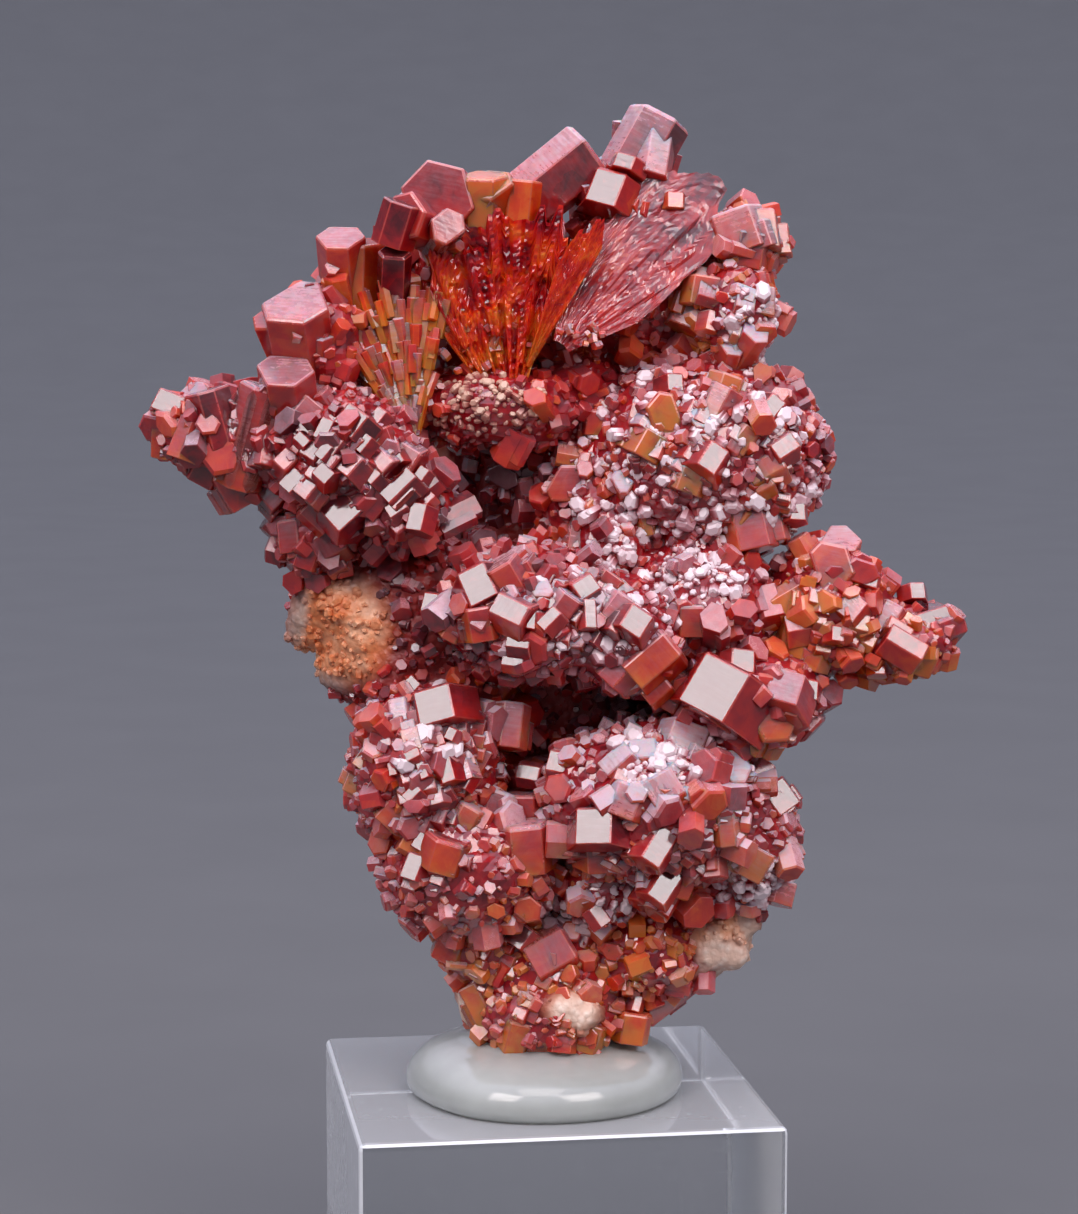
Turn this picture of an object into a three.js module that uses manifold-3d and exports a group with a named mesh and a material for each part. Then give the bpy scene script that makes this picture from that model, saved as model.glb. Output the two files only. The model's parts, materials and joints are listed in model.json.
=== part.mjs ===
// Vanadinite on matrix: red hexagonal crystals grown over a lump of pale rock.
// The specimen stands in a dab of milky putty on a clear acrylic block.
// Millimetres, +Z up. The origin is the centre of the block's base.
import * as THREE from "three";
import { mergeVertices } from "three/addons/utils/BufferGeometryUtils.js";
import Module from "manifold-3d";

const wasm = await Module();
wasm.setup();

// Display block, with every edge polished to a small chamfer
const BLOCK_SIDE = 30;
const BLOCK_HEIGHT = 20;
const BLOCK_CHAMFER = 0.5;

// Putty dab: a round, flattened puddle with a swollen rim and a low crown, a little forward of centre
const PUTTY_RADIUS = 10.1;
const PUTTY_RIM_HEIGHT = 1.5;
const PUTTY_CROWN_HEIGHT = 3;
const PUTTY_CENTRE = new THREE.Vector2(-0.3, -2.2);
const PUTTY_SIDES = 24;

// The specimen's best face is turned a little from the block's front, about +Z
const SPECIMEN_TURN = THREE.MathUtils.degToRad(-8.3);

// Clearance between neighbouring pieces
const GAP = 0.3;

// Places on the specimen are read off a reference picture, as pixels (u, v).
// This is the eye that sees them, in the specimen's own axes: it looks along +Y, tilted down.
const EYE = new THREE.Vector3(-0.4, -222, 79.5);
const EYE_TILT = THREE.MathUtils.degToRad(6.28);
const FOCAL_PIXELS = 3083;
const PICTURE_CENTRE = new THREE.Vector2(539, 607);

// Crystal habit: hexagonal prisms with flat ends and a narrow pyramid bevel
const HEXAGON = 6;
const BEVEL_SHARE = 0.12;
const BEVEL_FROM_WIDTH = 2.6;
const PROUD_SHARE = 0.5;

// Ground mass: lumps are rounded bodies with a shallow uneven surface
const ROCK_DETAIL = 1;
const CRUST_DETAIL = 1;
const LUMP_UNEVENNESS = 0.05;

const COLOUR = {
  acrylic: { color: 0xdfe3e6, roughness: 0.03, metalness: 0, transparent: true, opacity: 0.35 },
  putty: { color: 0xd5dcde, roughness: 0.2, metalness: 0 },
  rock: { color: 0xd8b392, roughness: 0.85, metalness: 0 },
  vanadinite: { color: 0xa3261a, roughness: 0.18, metalness: 0 },
};

// Solids

function solidOf(geometry) {
  const bare = new THREE.BufferGeometry();
  bare.setAttribute("position", geometry.getAttribute("position"));
  bare.setIndex(geometry.index);
  const merged = mergeVertices(bare, 1e-4);
  const corners = merged.index.array;
  const triangles = [];
  for (let i = 0; i < corners.length; i += 3) {
    const [a, b, c] = corners.slice(i, i + 3);
    if (a !== b && b !== c && c !== a) triangles.push(a, b, c);
  }
  return new wasm.Manifold(
    new wasm.Mesh({
      numProp: 3,
      vertProperties: merged.getAttribute("position").array,
      triVerts: new Uint32Array(triangles),
    }),
  );
}

function geometryOf(solid) {
  const { numProp, vertProperties, triVerts } = solid.getMesh();
  const vertices = new THREE.InterleavedBuffer(vertProperties, numProp);
  const geometry = new THREE.BufferGeometry();
  geometry.setAttribute("position", new THREE.InterleavedBufferAttribute(vertices, 3, 0));
  geometry.setIndex(new THREE.BufferAttribute(triVerts, 1));
  return geometry.toNonIndexed();
}

function union(solids) {
  return solids.reduce((whole, solid) => whole.add(solid));
}

function largestBody(solid) {
  return solid.decompose().reduce((best, body) => (body.volume() > best.volume() ? body : best));
}

function piece(name, solid, finish) {
  const geometry = geometryOf(solid);
  geometry.computeVertexNormals();
  const mesh = new THREE.Mesh(geometry, new THREE.MeshStandardMaterial(finish));
  mesh.name = name;
  return mesh;
}

// The reference picture

function sightLine([u, v]) {
  const forward = new THREE.Vector3(0, Math.cos(EYE_TILT), -Math.sin(EYE_TILT));
  const up = new THREE.Vector3(0, Math.sin(EYE_TILT), Math.cos(EYE_TILT));
  const direction = forward
    .addScaledVector(new THREE.Vector3(1, 0, 0), (u - PICTURE_CENTRE.x) / FOCAL_PIXELS)
    .addScaledVector(up, (PICTURE_CENTRE.y - v) / FOCAL_PIXELS)
    .normalize();
  return new THREE.Ray(EYE, direction);
}

function pointAtDepth(at, depth) {
  const plane = new THREE.Plane(new THREE.Vector3(0, 1, 0), -depth);
  return sightLine(at).intersectPlane(plane, new THREE.Vector3());
}

// Lumps of rock and of crystal crust

function lumpFrame({ at, depth, radii }, extra = 0) {
  const scale = new THREE.Vector3(...radii).addScalar(extra);
  return new THREE.Matrix4().compose(pointAtDepth(at, depth), new THREE.Quaternion(), scale);
}

function lump(place, detail, extra = 0) {
  const geometry = new THREE.IcosahedronGeometry(1, detail);
  const position = geometry.getAttribute("position");
  const [u, v] = place.at;
  const point = new THREE.Vector3();
  for (let i = 0; i < position.count; i++) {
    point.fromBufferAttribute(position, i);
    const wave =
      Math.sin(3.1 * point.x + 0.7 * u) * Math.sin(2.7 * point.z + 1.3 * v) +
      0.6 * Math.sin(5.3 * point.y + 4.1 * point.x + u + v);
    point.multiplyScalar(1 + LUMP_UNEVENNESS * wave);
    position.setXYZ(i, point.x, point.y, point.z);
  }
  return solidOf(geometry.applyMatrix4(lumpFrame(place, extra)));
}

// The nearest point where a sight line meets a crust, or where it passes closest to it
function seatOn(lumps, at) {
  const sight = sightLine(at);
  let seat = null;
  let reach = Infinity;
  for (const place of lumps) {
    const frame = lumpFrame(place);
    const unit = new THREE.Sphere(new THREE.Vector3(), 1);
    const local = sight.clone().applyMatrix4(frame.clone().invert());
    const hit = local.intersectSphere(unit, new THREE.Vector3());
    const point = hit ? hit.applyMatrix4(frame) : null;
    if (point && point.distanceTo(EYE) < reach) {
      reach = point.distanceTo(EYE);
      seat = point;
    }
  }
  if (seat) return seat;
  const centres = lumps.map(({ at: middle, depth }) => pointAtDepth(middle, depth));
  const nearest = centres.reduce((a, b) => (sight.distanceToPoint(b) < sight.distanceToPoint(a) ? b : a));
  return sight.closestPointToPoint(nearest, new THREE.Vector3());
}

// Crystals

const UP_THE_PRISM = new THREE.Vector3(0, 1, 0);

// A prism along +Y with one side face towards +Z. wide is the width of a side face.
function prism(wide, long) {
  const bevel = wide >= BEVEL_FROM_WIDTH ? BEVEL_SHARE * wide : 0;
  const outline = [new THREE.Vector2(0, -long / 2), new THREE.Vector2(wide, -long / 2)];
  if (bevel) {
    outline.push(new THREE.Vector2(wide, long / 2 - bevel));
    outline.push(new THREE.Vector2(wide - bevel, long / 2));
  } else {
    outline.push(new THREE.Vector2(wide, long / 2));
  }
  outline.push(new THREE.Vector2(0, long / 2));
  return new THREE.LatheGeometry(outline, HEXAGON, Math.PI / HEXAGON);
}

// The outward normal of a face that is turned right by yaw and up by pitch from the viewer
function facing(yaw, pitch) {
  const turn = THREE.MathUtils.degToRad(yaw);
  const rise = THREE.MathUtils.degToRad(pitch);
  return new THREE.Vector3(
    Math.sin(turn) * Math.cos(rise),
    -Math.cos(turn) * Math.cos(rise),
    Math.sin(rise),
  );
}

// A crystal set by the face it shows: the middle of a side or an end face is seen at (u, v).
// roll turns the face clockwise, from its length (side) or a flat (end) standing upright.
function crystal(lumps, grown, { end = false, at, depth, yaw = 0, pitch = 15, roll = 0, wide, long }) {
  const normal = facing(yaw, pitch);
  const upright = new THREE.Vector3(0, 0, 1).projectOnPlane(normal).normalize();
  upright.applyAxisAngle(normal, THREE.MathUtils.degToRad(-roll));
  const axis = end ? normal : upright;
  const side = end ? upright : normal;
  const across = new THREE.Vector3().crossVectors(axis, side);
  const apothem = (wide * Math.sqrt(3)) / 2;
  const depthOfFace = end ? long / 2 : apothem;
  const towardsEye = sightLine(at).direction.negate();
  const seat = seatOn(lumps, at).addScaledVector(towardsEye, PROUD_SHARE * wide);
  const shown = depth === undefined ? seat : pointAtDepth(at, depth);
  const centre = shown.addScaledVector(normal, -depthOfFace);
  const frame = new THREE.Matrix4().makeBasis(across, axis, side).setPosition(centre);
  return solidOf(prism(wide + grown, long + 2 * grown).applyMatrix4(frame));
}

// A long prism of a sheaf, from the common root to its own tip
function sheafRay(root, grown, { tip, depth, wide }) {
  const start = pointAtDepth(root.at, root.depth);
  const finish = pointAtDepth(tip, depth);
  const axis = finish.clone().sub(start);
  const turn = new THREE.Quaternion().setFromUnitVectors(UP_THE_PRISM, axis.clone().normalize());
  const middle = start.clone().lerp(finish, 0.5);
  const frame = new THREE.Matrix4().compose(middle, turn, new THREE.Vector3(1, 1, 1));
  return solidOf(prism(wide + grown, axis.length() + 2 * grown).applyMatrix4(frame));
}

// A group of crystals that grew together on one patch of crust
function growth({ lumps, crystals, sheaf = { rays: [] } }, grown = 0) {
  return union([
    ...lumps.map((place) => lump(place, CRUST_DETAIL, grown)),
    ...crystals.map((habit) => crystal(lumps, grown, habit)),
    ...sheaf.rays.map((ray) => sheafRay(sheaf.root, grown, ray)),
  ]);
}

// The rock, seen bare at the left flank, low on the right and at the foot
const MATRIX = [
  { at: [575, 430], depth: 7, radii: [12.5, 6.5, 13] },
  { at: [560, 640], depth: 5, radii: [15, 8, 12] },
  { at: [425, 632], depth: 2, radii: [8.6, 6.6, 7.2] },
  { at: [590, 850], depth: 4, radii: [13, 8, 11] },
  { at: [565, 990], depth: 1, radii: [7, 5.6, 5.4] },
  { at: [712, 925], depth: 1, radii: [4.6, 4.6, 4.4] },
];

// Crystal groups of the front, from the top down
const GROUPS = {
  fan_sheaf: {
    lumps: [
      { at: [520, 400], depth: 4, radii: [7, 4, 4] },
      { at: [650, 310], depth: 4, radii: [7, 4.5, 8] },
    ],
    crystals: [
      { end: true, at: [424, 205], depth: -5, yaw: -12, pitch: 18, wide: 3.5, long: 9 },
      { at: [545, 165], depth: -3, yaw: -10, pitch: 20, roll: 40, wide: 3, long: 7 },
      { at: [608, 186], depth: -5, yaw: 0, pitch: 15, roll: 15, wide: 2.8, long: 2.8 },
      { at: [634, 158], depth: -3, yaw: -8, pitch: 5, roll: 30, wide: 2.6, long: 6.4 },
      { at: [668, 228], depth: -3.5, yaw: 15, pitch: 20, roll: 45, wide: 5, long: 8 },
    ],
    sheaf: {
      root: { at: [520, 470], depth: 4 },
      rays: [
        { tip: [342, 330], depth: -2, wide: 2.4 },
        { tip: [385, 250], depth: -1, wide: 2.8 },
        { tip: [470, 195], depth: -1, wide: 3 },
        { tip: [530, 185], depth: -1, wide: 3 },
        { tip: [590, 170], depth: -1, wide: 3.2 },
        { tip: [655, 180], depth: 0, wide: 3.4 },
        { tip: [712, 222], depth: 1, wide: 3 },
      ],
    },
  },
  fan_left_rim: {
    lumps: [{ at: [325, 345], depth: -1, radii: [3.6, 4, 4.6] }],
    crystals: [
      { end: true, at: [300, 302], yaw: -10, pitch: 45, roll: 10, wide: 2.9, long: 6 },
      { end: true, at: [282, 371], yaw: -5, pitch: 42, roll: 5, wide: 1.9, long: 5 },
      { end: true, at: [342, 243], yaw: 0, pitch: 50, roll: 0, wide: 2.1, long: 7 },
      { end: true, at: [393, 256], yaw: 5, pitch: 40, roll: 10, wide: 1.4, long: 6 },
    ],
  },
  fan_right_rim: {
    lumps: [
      { at: [746, 242], depth: 2, radii: [2.6, 3.4, 2.6] },
      { at: [735, 312], depth: 0, radii: [3, 4, 3.6] },
    ],
    crystals: [
      { at: [764, 228], yaw: 20, pitch: 20, roll: 0, wide: 2, long: 3 },
      { at: [733, 232], yaw: -10, pitch: 10, roll: -20, wide: 2.3, long: 3.2 },
      { end: true, at: [752, 330], yaw: 30, pitch: 40, wide: 1.9, long: 4 },
    ],
  },
  left_arm: {
    lumps: [
      { at: [208, 430], depth: -2, radii: [3.6, 3.8, 2.8] },
      { at: [262, 448], depth: -2, radii: [3.4, 4, 3.6] },
    ],
    crystals: [
      { at: [178, 432], yaw: -35, pitch: 5, roll: 12, wide: 2.1, long: 5.4 },
      { at: [214, 418], yaw: 10, pitch: 12, roll: -20, wide: 2, long: 4 },
      { at: [250, 432], yaw: 5, pitch: 0, roll: 15, wide: 2.5, long: 5.6 },
      { at: [240, 480], yaw: 0, pitch: -5, roll: -40, wide: 2.2, long: 2.8 },
    ],
  },
  left_shoulder: {
    lumps: [
      { at: [345, 455], depth: -4, radii: [5.4, 4.6, 4.6] },
      { at: [402, 505], depth: -4, radii: [3.6, 4, 3.2] },
      { at: [318, 538], depth: -1, radii: [3.2, 4, 3] },
    ],
    crystals: [
      { at: [349, 422], yaw: -5, pitch: 22, roll: 30, wide: 1.8, long: 1.9 },
      { at: [292, 479], yaw: -8, pitch: 20, roll: 30, wide: 2, long: 2 },
      { at: [340, 507], yaw: 0, pitch: 22, roll: -55, wide: 2.2, long: 3 },
      { at: [397, 484], yaw: 5, pitch: 22, roll: 45, wide: 1.9, long: 3 },
    ],
  },
  upper_right_druse: {
    lumps: [
      { at: [704, 455], depth: 1, radii: [8.8, 7.6, 7.4] },
      { at: [600, 500], depth: 2, radii: [5, 5.6, 6.2] },
    ],
    crystals: [
      { at: [725, 393], yaw: 5, pitch: 20, roll: 30, wide: 2.4, long: 4.4 },
      { end: true, at: [665, 408], yaw: 0, pitch: 8, wide: 1.8, long: 3 },
      { at: [712, 457], yaw: 5, pitch: 22, roll: 35, wide: 2.1, long: 2.3 },
      { end: true, at: [563, 486], yaw: -10, pitch: 5, wide: 1.9, long: 3 },
      { end: true, at: [755, 520], yaw: 10, pitch: 10, wide: 2.4, long: 4 },
      { at: [798, 455], yaw: 15, pitch: 15, roll: 60, wide: 2, long: 2.6 },
      { at: [803, 498], yaw: 15, pitch: 20, roll: 5, wide: 1.6, long: 2.4 },
      { at: [650, 440], yaw: -5, pitch: 25, roll: 40, wide: 1.8, long: 2.2 },
    ],
  },
  right_arm: {
    lumps: [
      { at: [828, 612], depth: -2, radii: [4.6, 4.6, 4.8] },
      { at: [893, 640], depth: -2, radii: [4.2, 3.6, 2.6] },
    ],
    crystals: [
      { end: true, at: [833, 570], yaw: -5, pitch: 25, wide: 2.5, long: 5 },
      { end: true, at: [838, 540], yaw: 5, pitch: 55, wide: 2.2, long: 5 },
      { at: [873, 590], yaw: 10, pitch: 20, roll: 30, wide: 1.9, long: 3 },
      { at: [936, 620], yaw: 8, pitch: 38, roll: 80, wide: 2.1, long: 3.2 },
      { at: [909, 643], yaw: 4, pitch: 34, roll: 115, wide: 2.1, long: 3.4 },
      { at: [791, 638], yaw: -20, pitch: 10, roll: 10, wide: 2.4, long: 3 },
      { at: [787, 608], yaw: 0, pitch: 30, roll: 70, wide: 1.8, long: 3 },
    ],
  },
  central_cluster: {
    lumps: [
      { at: [535, 612], depth: -4, radii: [7.6, 6.4, 4.6] },
      { at: [625, 632], depth: -4, radii: [4.6, 5.6, 4.2] },
    ],
    crystals: [
      { at: [474, 577], yaw: -6, pitch: 18, roll: -25, wide: 3, long: 4 },
      { at: [513, 608], yaw: 0, pitch: 20, roll: 12, wide: 2.4, long: 2.2 },
      { at: [618, 600], yaw: -12, pitch: 28, roll: 40, wide: 2.8, long: 2.8 },
      { at: [656, 658], yaw: 15, pitch: 30, roll: 50, wide: 3, long: 4 },
    ],
  },
  right_shelf: {
    lumps: [
      { at: [742, 690], depth: -4, radii: [5.8, 5.4, 3.8] },
      { at: [710, 605], depth: -3, radii: [4.4, 4.8, 4.4] },
    ],
    crystals: [
      { at: [717, 687], yaw: 0, pitch: 22, roll: 25, wide: 3.6, long: 4 },
      { at: [782, 684], yaw: 18, pitch: 35, roll: 20, wide: 2.5, long: 3 },
      { end: true, at: [778, 716], yaw: 15, pitch: 12, wide: 2.2, long: 4 },
    ],
  },
  lower_left_cluster: {
    lumps: [
      { at: [425, 765], depth: -3, radii: [5.4, 6, 6.6] },
      { at: [470, 865], depth: -4, radii: [6.4, 5.6, 5.2] },
    ],
    crystals: [
      { end: true, at: [482, 676], yaw: 0, pitch: 38, wide: 2, long: 5 },
      { at: [436, 703], yaw: -5, pitch: 20, roll: 20, wide: 2.9, long: 3.3 },
      { at: [491, 708], yaw: 12, pitch: 0, roll: 30, wide: 2.8, long: 4 },
      { at: [450, 843], yaw: 0, pitch: 55, roll: 75, wide: 2.4, long: 3.4 },
      { at: [524, 852], yaw: 6, pitch: 5, roll: -5, wide: 2.9, long: 4.4 },
      { at: [390, 812], yaw: -15, pitch: 5, roll: 40, wide: 2, long: 2.6 },
    ],
  },
  lower_right_cluster: {
    lumps: [
      { at: [655, 800], depth: -5, radii: [8.2, 6.6, 5.8] },
      { at: [740, 838], depth: -3, radii: [4, 5, 5] },
    ],
    crystals: [
      { at: [596, 823], yaw: -5, pitch: 20, roll: 5, wide: 2.8, long: 2.8 },
      { at: [660, 846], yaw: 5, pitch: 20, roll: 35, wide: 1.9, long: 2.6 },
      { at: [668, 877], yaw: 5, pitch: 24, roll: 42, wide: 2, long: 3.8 },
      { end: true, at: [633, 750], yaw: -10, pitch: 30, wide: 2.2, long: 4 },
      { end: true, at: [731, 764], yaw: 10, pitch: 40, wide: 2.4, long: 4 },
      { end: true, at: [776, 797], yaw: 25, pitch: 22, wide: 1.8, long: 3.4 },
      { at: [754, 858], yaw: 15, pitch: 5, roll: 30, wide: 2.4, long: 2.6 },
    ],
  },
  foot_cluster: {
    lumps: [
      { at: [548, 990], depth: -2.5, radii: [5.8, 4.4, 5.2] },
      { at: [490, 935], depth: -2, radii: [4.2, 4, 3.6] },
    ],
    crystals: [
      { end: true, at: [542, 1060], depth: -4.5, yaw: 0, pitch: -35, wide: 1.6, long: 5 },
      { at: [480, 1008], yaw: -22, pitch: 0, roll: -30, wide: 1.5, long: 3.6 },
      { at: [448, 945], yaw: -25, pitch: 5, roll: 20, wide: 1.5, long: 2.4 },
      { at: [550, 950], yaw: 0, pitch: 20, roll: 60, wide: 2.8, long: 3.2 },
      { at: [640, 1004], depth: -5.4, yaw: 12, pitch: -15, roll: 50, wide: 1.9, long: 7 },
    ],
  },
};

// Crystals of the back: they point away from the viewer, spread over their crust by the golden angle
const BACK_GROUPS = {
  back_upper_cluster: { at: [590, 330], depth: 10.5, radii: [7.5, 4.6, 7.5], count: 8, wide: 2, long: 6.4 },
  back_lower_cluster: { at: [560, 780], depth: 10.5, radii: [8, 4.4, 8.5], count: 9, wide: 1.9, long: 6 },
};

function backGrowth({ at, depth, radii, count, wide, long }, grown = 0) {
  const crust = { at, depth, radii };
  const frame = lumpFrame(crust);
  const goldenAngle = Math.PI * (3 - Math.sqrt(5));
  const solids = [lump(crust, CRUST_DETAIL, grown)];
  for (let i = 0; i < count; i++) {
    const spread = Math.sqrt((i + 0.5) / count) * 0.85;
    const angle = i * goldenAngle;
    const out = new THREE.Vector3(
      spread * Math.cos(angle),
      Math.sqrt(1 - spread * spread),
      spread * Math.sin(angle),
    );
    const size = 1 - 0.35 * ((i * 0.618) % 1);
    const turn = new THREE.Quaternion().setFromUnitVectors(UP_THE_PRISM, out);
    const place = new THREE.Matrix4().compose(
      out.clone().applyMatrix4(frame).addScaledVector(out, -0.25 * long),
      turn,
      new THREE.Vector3(1, 1, 1),
    );
    solids.push(solidOf(prism(wide * size + grown, long * size + 2 * grown).applyMatrix4(place)));
  }
  return union(solids);
}

// The stand

function displayBlock() {
  const half = BLOCK_SIDE / 2 - BLOCK_CHAMFER;
  const outline = new THREE.Shape();
  outline.moveTo(-half, -half).lineTo(half, -half).lineTo(half, half).lineTo(-half, half).closePath();
  const geometry = new THREE.ExtrudeGeometry(outline, {
    depth: BLOCK_HEIGHT - 2 * BLOCK_CHAMFER,
    bevelThickness: BLOCK_CHAMFER,
    bevelSize: BLOCK_CHAMFER,
    bevelSegments: 1,
  });
  return solidOf(geometry.translate(0, 0, BLOCK_CHAMFER));
}

// The dab lies on the block and is pressed in by the foot of the specimen
function puttyDab() {
  const rim = new THREE.SplineCurve([
    new THREE.Vector2(PUTTY_RADIUS * 0.95, 0),
    new THREE.Vector2(PUTTY_RADIUS, PUTTY_RIM_HEIGHT * 0.5),
    new THREE.Vector2(PUTTY_RADIUS * 0.93, PUTTY_RIM_HEIGHT),
    new THREE.Vector2(PUTTY_RADIUS * 0.6, (PUTTY_RIM_HEIGHT + PUTTY_CROWN_HEIGHT) / 2),
    new THREE.Vector2(0, PUTTY_CROWN_HEIGHT),
  ]);
  const profile = [new THREE.Vector2(0, 0), ...rim.getPoints(5)];
  const geometry = new THREE.LatheGeometry(profile, PUTTY_SIDES).rotateX(Math.PI / 2);
  return solidOf(geometry.translate(PUTTY_CENTRE.x, PUTTY_CENTRE.y, BLOCK_HEIGHT));
}

// Assembly: each piece is cut clear of those already placed

const specimen = new THREE.Group();
specimen.rotation.z = SPECIMEN_TURN;

let taken = union(MATRIX.map((place) => lump(place, ROCK_DETAIL, GAP)));
const rock = union(MATRIX.map((place) => lump(place, ROCK_DETAIL)));
specimen.add(piece("matrix_rock", largestBody(rock), COLOUR.rock));

const growths = [
  ...Object.entries(GROUPS).map(([name, group]) => [name, (grown) => growth(group, grown)]),
  ...Object.entries(BACK_GROUPS).map(([name, group]) => [name, (grown) => backGrowth(group, grown)]),
];
for (const [name, grow] of growths) {
  const body = largestBody(grow(0).subtract(taken));
  specimen.add(piece(name, body, COLOUR.vanadinite));
  taken = taken.add(grow(GAP));
}

const turnedSpecimen = taken.rotate([0, 0, THREE.MathUtils.radToDeg(SPECIMEN_TURN)]);
const putty = largestBody(puttyDab().subtract(turnedSpecimen));

const vanadiniteOnMatrix = new THREE.Group();
vanadiniteOnMatrix.add(piece("acrylic_block", displayBlock(), COLOUR.acrylic));
vanadiniteOnMatrix.add(piece("mounting_putty", putty, COLOUR.putty));
vanadiniteOnMatrix.add(specimen);

export default vanadiniteOnMatrix;
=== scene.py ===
"""Vanadinite on matrix: the looks of the specimen, its putty and its acrylic block."""

import itertools
import json
import math
import random

import bmesh
import bpy
from bpy.props import FloatProperty, FloatVectorProperty, IntProperty, PointerProperty
from mathutils import Matrix, Quaternion, Vector, noise
from mathutils.bvhtree import BVHTree

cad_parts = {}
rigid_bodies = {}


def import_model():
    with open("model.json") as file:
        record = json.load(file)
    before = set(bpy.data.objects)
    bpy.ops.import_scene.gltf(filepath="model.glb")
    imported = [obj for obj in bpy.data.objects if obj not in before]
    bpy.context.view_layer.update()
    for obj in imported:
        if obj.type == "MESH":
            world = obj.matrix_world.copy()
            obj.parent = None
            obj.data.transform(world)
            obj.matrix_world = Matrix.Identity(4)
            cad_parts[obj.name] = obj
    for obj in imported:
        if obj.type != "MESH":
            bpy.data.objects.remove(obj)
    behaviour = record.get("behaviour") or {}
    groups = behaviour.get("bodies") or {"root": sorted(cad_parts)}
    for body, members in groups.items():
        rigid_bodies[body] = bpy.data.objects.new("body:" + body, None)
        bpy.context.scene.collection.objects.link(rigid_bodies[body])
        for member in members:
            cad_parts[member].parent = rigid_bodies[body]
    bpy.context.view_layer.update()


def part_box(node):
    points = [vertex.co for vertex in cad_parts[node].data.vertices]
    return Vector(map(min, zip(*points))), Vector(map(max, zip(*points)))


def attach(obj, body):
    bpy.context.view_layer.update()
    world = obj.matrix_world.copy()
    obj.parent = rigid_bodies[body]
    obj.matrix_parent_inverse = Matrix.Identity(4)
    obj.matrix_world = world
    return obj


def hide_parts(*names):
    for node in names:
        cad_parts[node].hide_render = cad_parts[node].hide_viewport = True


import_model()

bl_info = {
    "name": "Vanadinite on matrix",
    "version": (1, 0, 0),
    "blender": (4, 5, 0),
    "location": "View3D > Sidebar > Specimen",
    "description": "Grows the crystals, the rock, the putty and the display block over the packed solids",
    "category": "Object",
}

MM = 0.001
BODY = "root"

# The viewpoint that places are read from, in pixels of a 1078 x 1214 picture.
# Its axes are the specimen's own, which stand turned on the block.
PICTURE = (1078, 1214)
PICTURE_CENTRE = (539, 607)
FOCAL_PIXELS = 3083.0
EYE_MM = (-0.4, -222.0, 79.5)
EYE_TILT = math.radians(6.28)
SPECIMEN_TURN = math.radians(-8.3)
# Width of one pixel on the specimen, in millimetres
PIXEL_MM = 0.072

# Small crystal shapes to pick from, and the most crystals on a square metre before spacing thins them out
HABITS = 8
CROWDED = 8.0e6
# The facet value that marks a rounded edge, which the crystal material gives a painted highlight; plain
# facets have values from 0 to 1
EDGE_FACET = 2.0
# Painted glow and sheen: a crystal's foot is painted warmer than its head, by this much tone, and its head
# gets more lilac veil
PAINTED_FOOT_GLOW = 0.35
HEAD_TONE = -0.12
# Faces that flash white are darker under their gloss, and more so on the flashing side
FLASH_DARKER = 0.2
FLASH_GLARE = 0.3
# Crystals narrower than this have finer edges and no smaller ones around them
SMALL_FACE = 1.3 * MM
# A plate's columns and rows of points, and its thickness in millimetres
PLATE_GRID = (50, 54)
PLATE_BACK = 1.6
# Points of the specimen beyond this depth, in millimetres, belong to its back
BACK_DEPTH = 5
# Surfaces told apart on the finished meshes:
# small crystals and crust, frosted grains, clear laths, large crystals
SURFACES = ["Drusy", "Frosted", "Clear", "Grown"]
DRUSY, FROSTED, CLEAR, GROWN = range(4)
# What sets each crop of small crystals
CROP_PARTS = ("size", "spacing", "tone low", "tone high", "frost low", "frost high")

# Lumps of crust under each crystal group: pixel, depth and three radii in millimetres
CRUSTS = {
    "fan_sheaf": [
        ((500, 408), -0.6, (6.2, 4, 2.9)), ((560, 400), 2, (5, 4, 3.6)),
        ((636, 285), 3.6, (6, 4, 6.6)), ((482, 295), 2.6, (5.6, 3.5, 7)),
    ],
    "fan_left_rim": [((325, 345), -1, (3.6, 4, 4.6))],
    "fan_right_rim": [((746, 242), 2, (2.6, 3.4, 2.6)), ((735, 312), 0, (3, 4, 3.6))],
    "left_arm": [((208, 430), -2, (3.6, 3.8, 2.8)), ((262, 448), -2, (3.4, 4, 3.6))],
    "left_shoulder": [
        ((345, 455), -4, (5.4, 4.6, 4.6)), ((402, 505), -4, (3.6, 4, 3.2)), ((318, 538), -1, (3.2, 4, 3)),
    ],
    "upper_right_druse": [
        ((704, 455), 1, (8.8, 7.6, 7.4)), ((600, 500), 2, (5, 5.6, 6.2)),
        ((695, 578), -3, (4.2, 3.4, 2.8)), ((612, 540), -2.5, (2.4, 2.6, 2.8)),
    ],
    "right_arm": [((828, 612), -2, (4.6, 4.6, 4.8)), ((893, 640), -2, (4.2, 3.6, 2.6))],
    "central_cluster": [((535, 612), -4, (7.6, 6.4, 4.6)), ((625, 632), -4, (4.6, 5.6, 4.2))],
    "right_shelf": [((742, 690), -4, (5.8, 5.4, 3.8)), ((710, 605), -3, (4.4, 4.8, 4.4))],
    "lower_left_cluster": [((425, 765), -3, (5.4, 6, 6.6)), ((470, 865), -4, (6.4, 5.6, 5.2))],
    "lower_right_cluster": [
        ((655, 800), -5, (8.2, 6.6, 5.8)), ((740, 838), -3, (4, 5, 5)),
        ((598, 890), -4, (3.2, 3.4, 2.6)), ((706, 890), -3, (3, 3.2, 2)),
    ],
    "foot_cluster": [
        ((548, 985), -2.5, (5.8, 4.4, 5)), ((490, 935), -2, (4.2, 4, 3.6)),
        ((545, 1018), -4.2, (4.8, 3.4, 3.3)), ((648, 950), -3, (3.8, 3.4, 3.4)),
    ],
    "back_upper_cluster": [((590, 330), 10.5, (7.5, 4.6, 7.5))],
    "back_lower_cluster": [((560, 780), 10.5, (8, 4.4, 8.5))],
}
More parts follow.
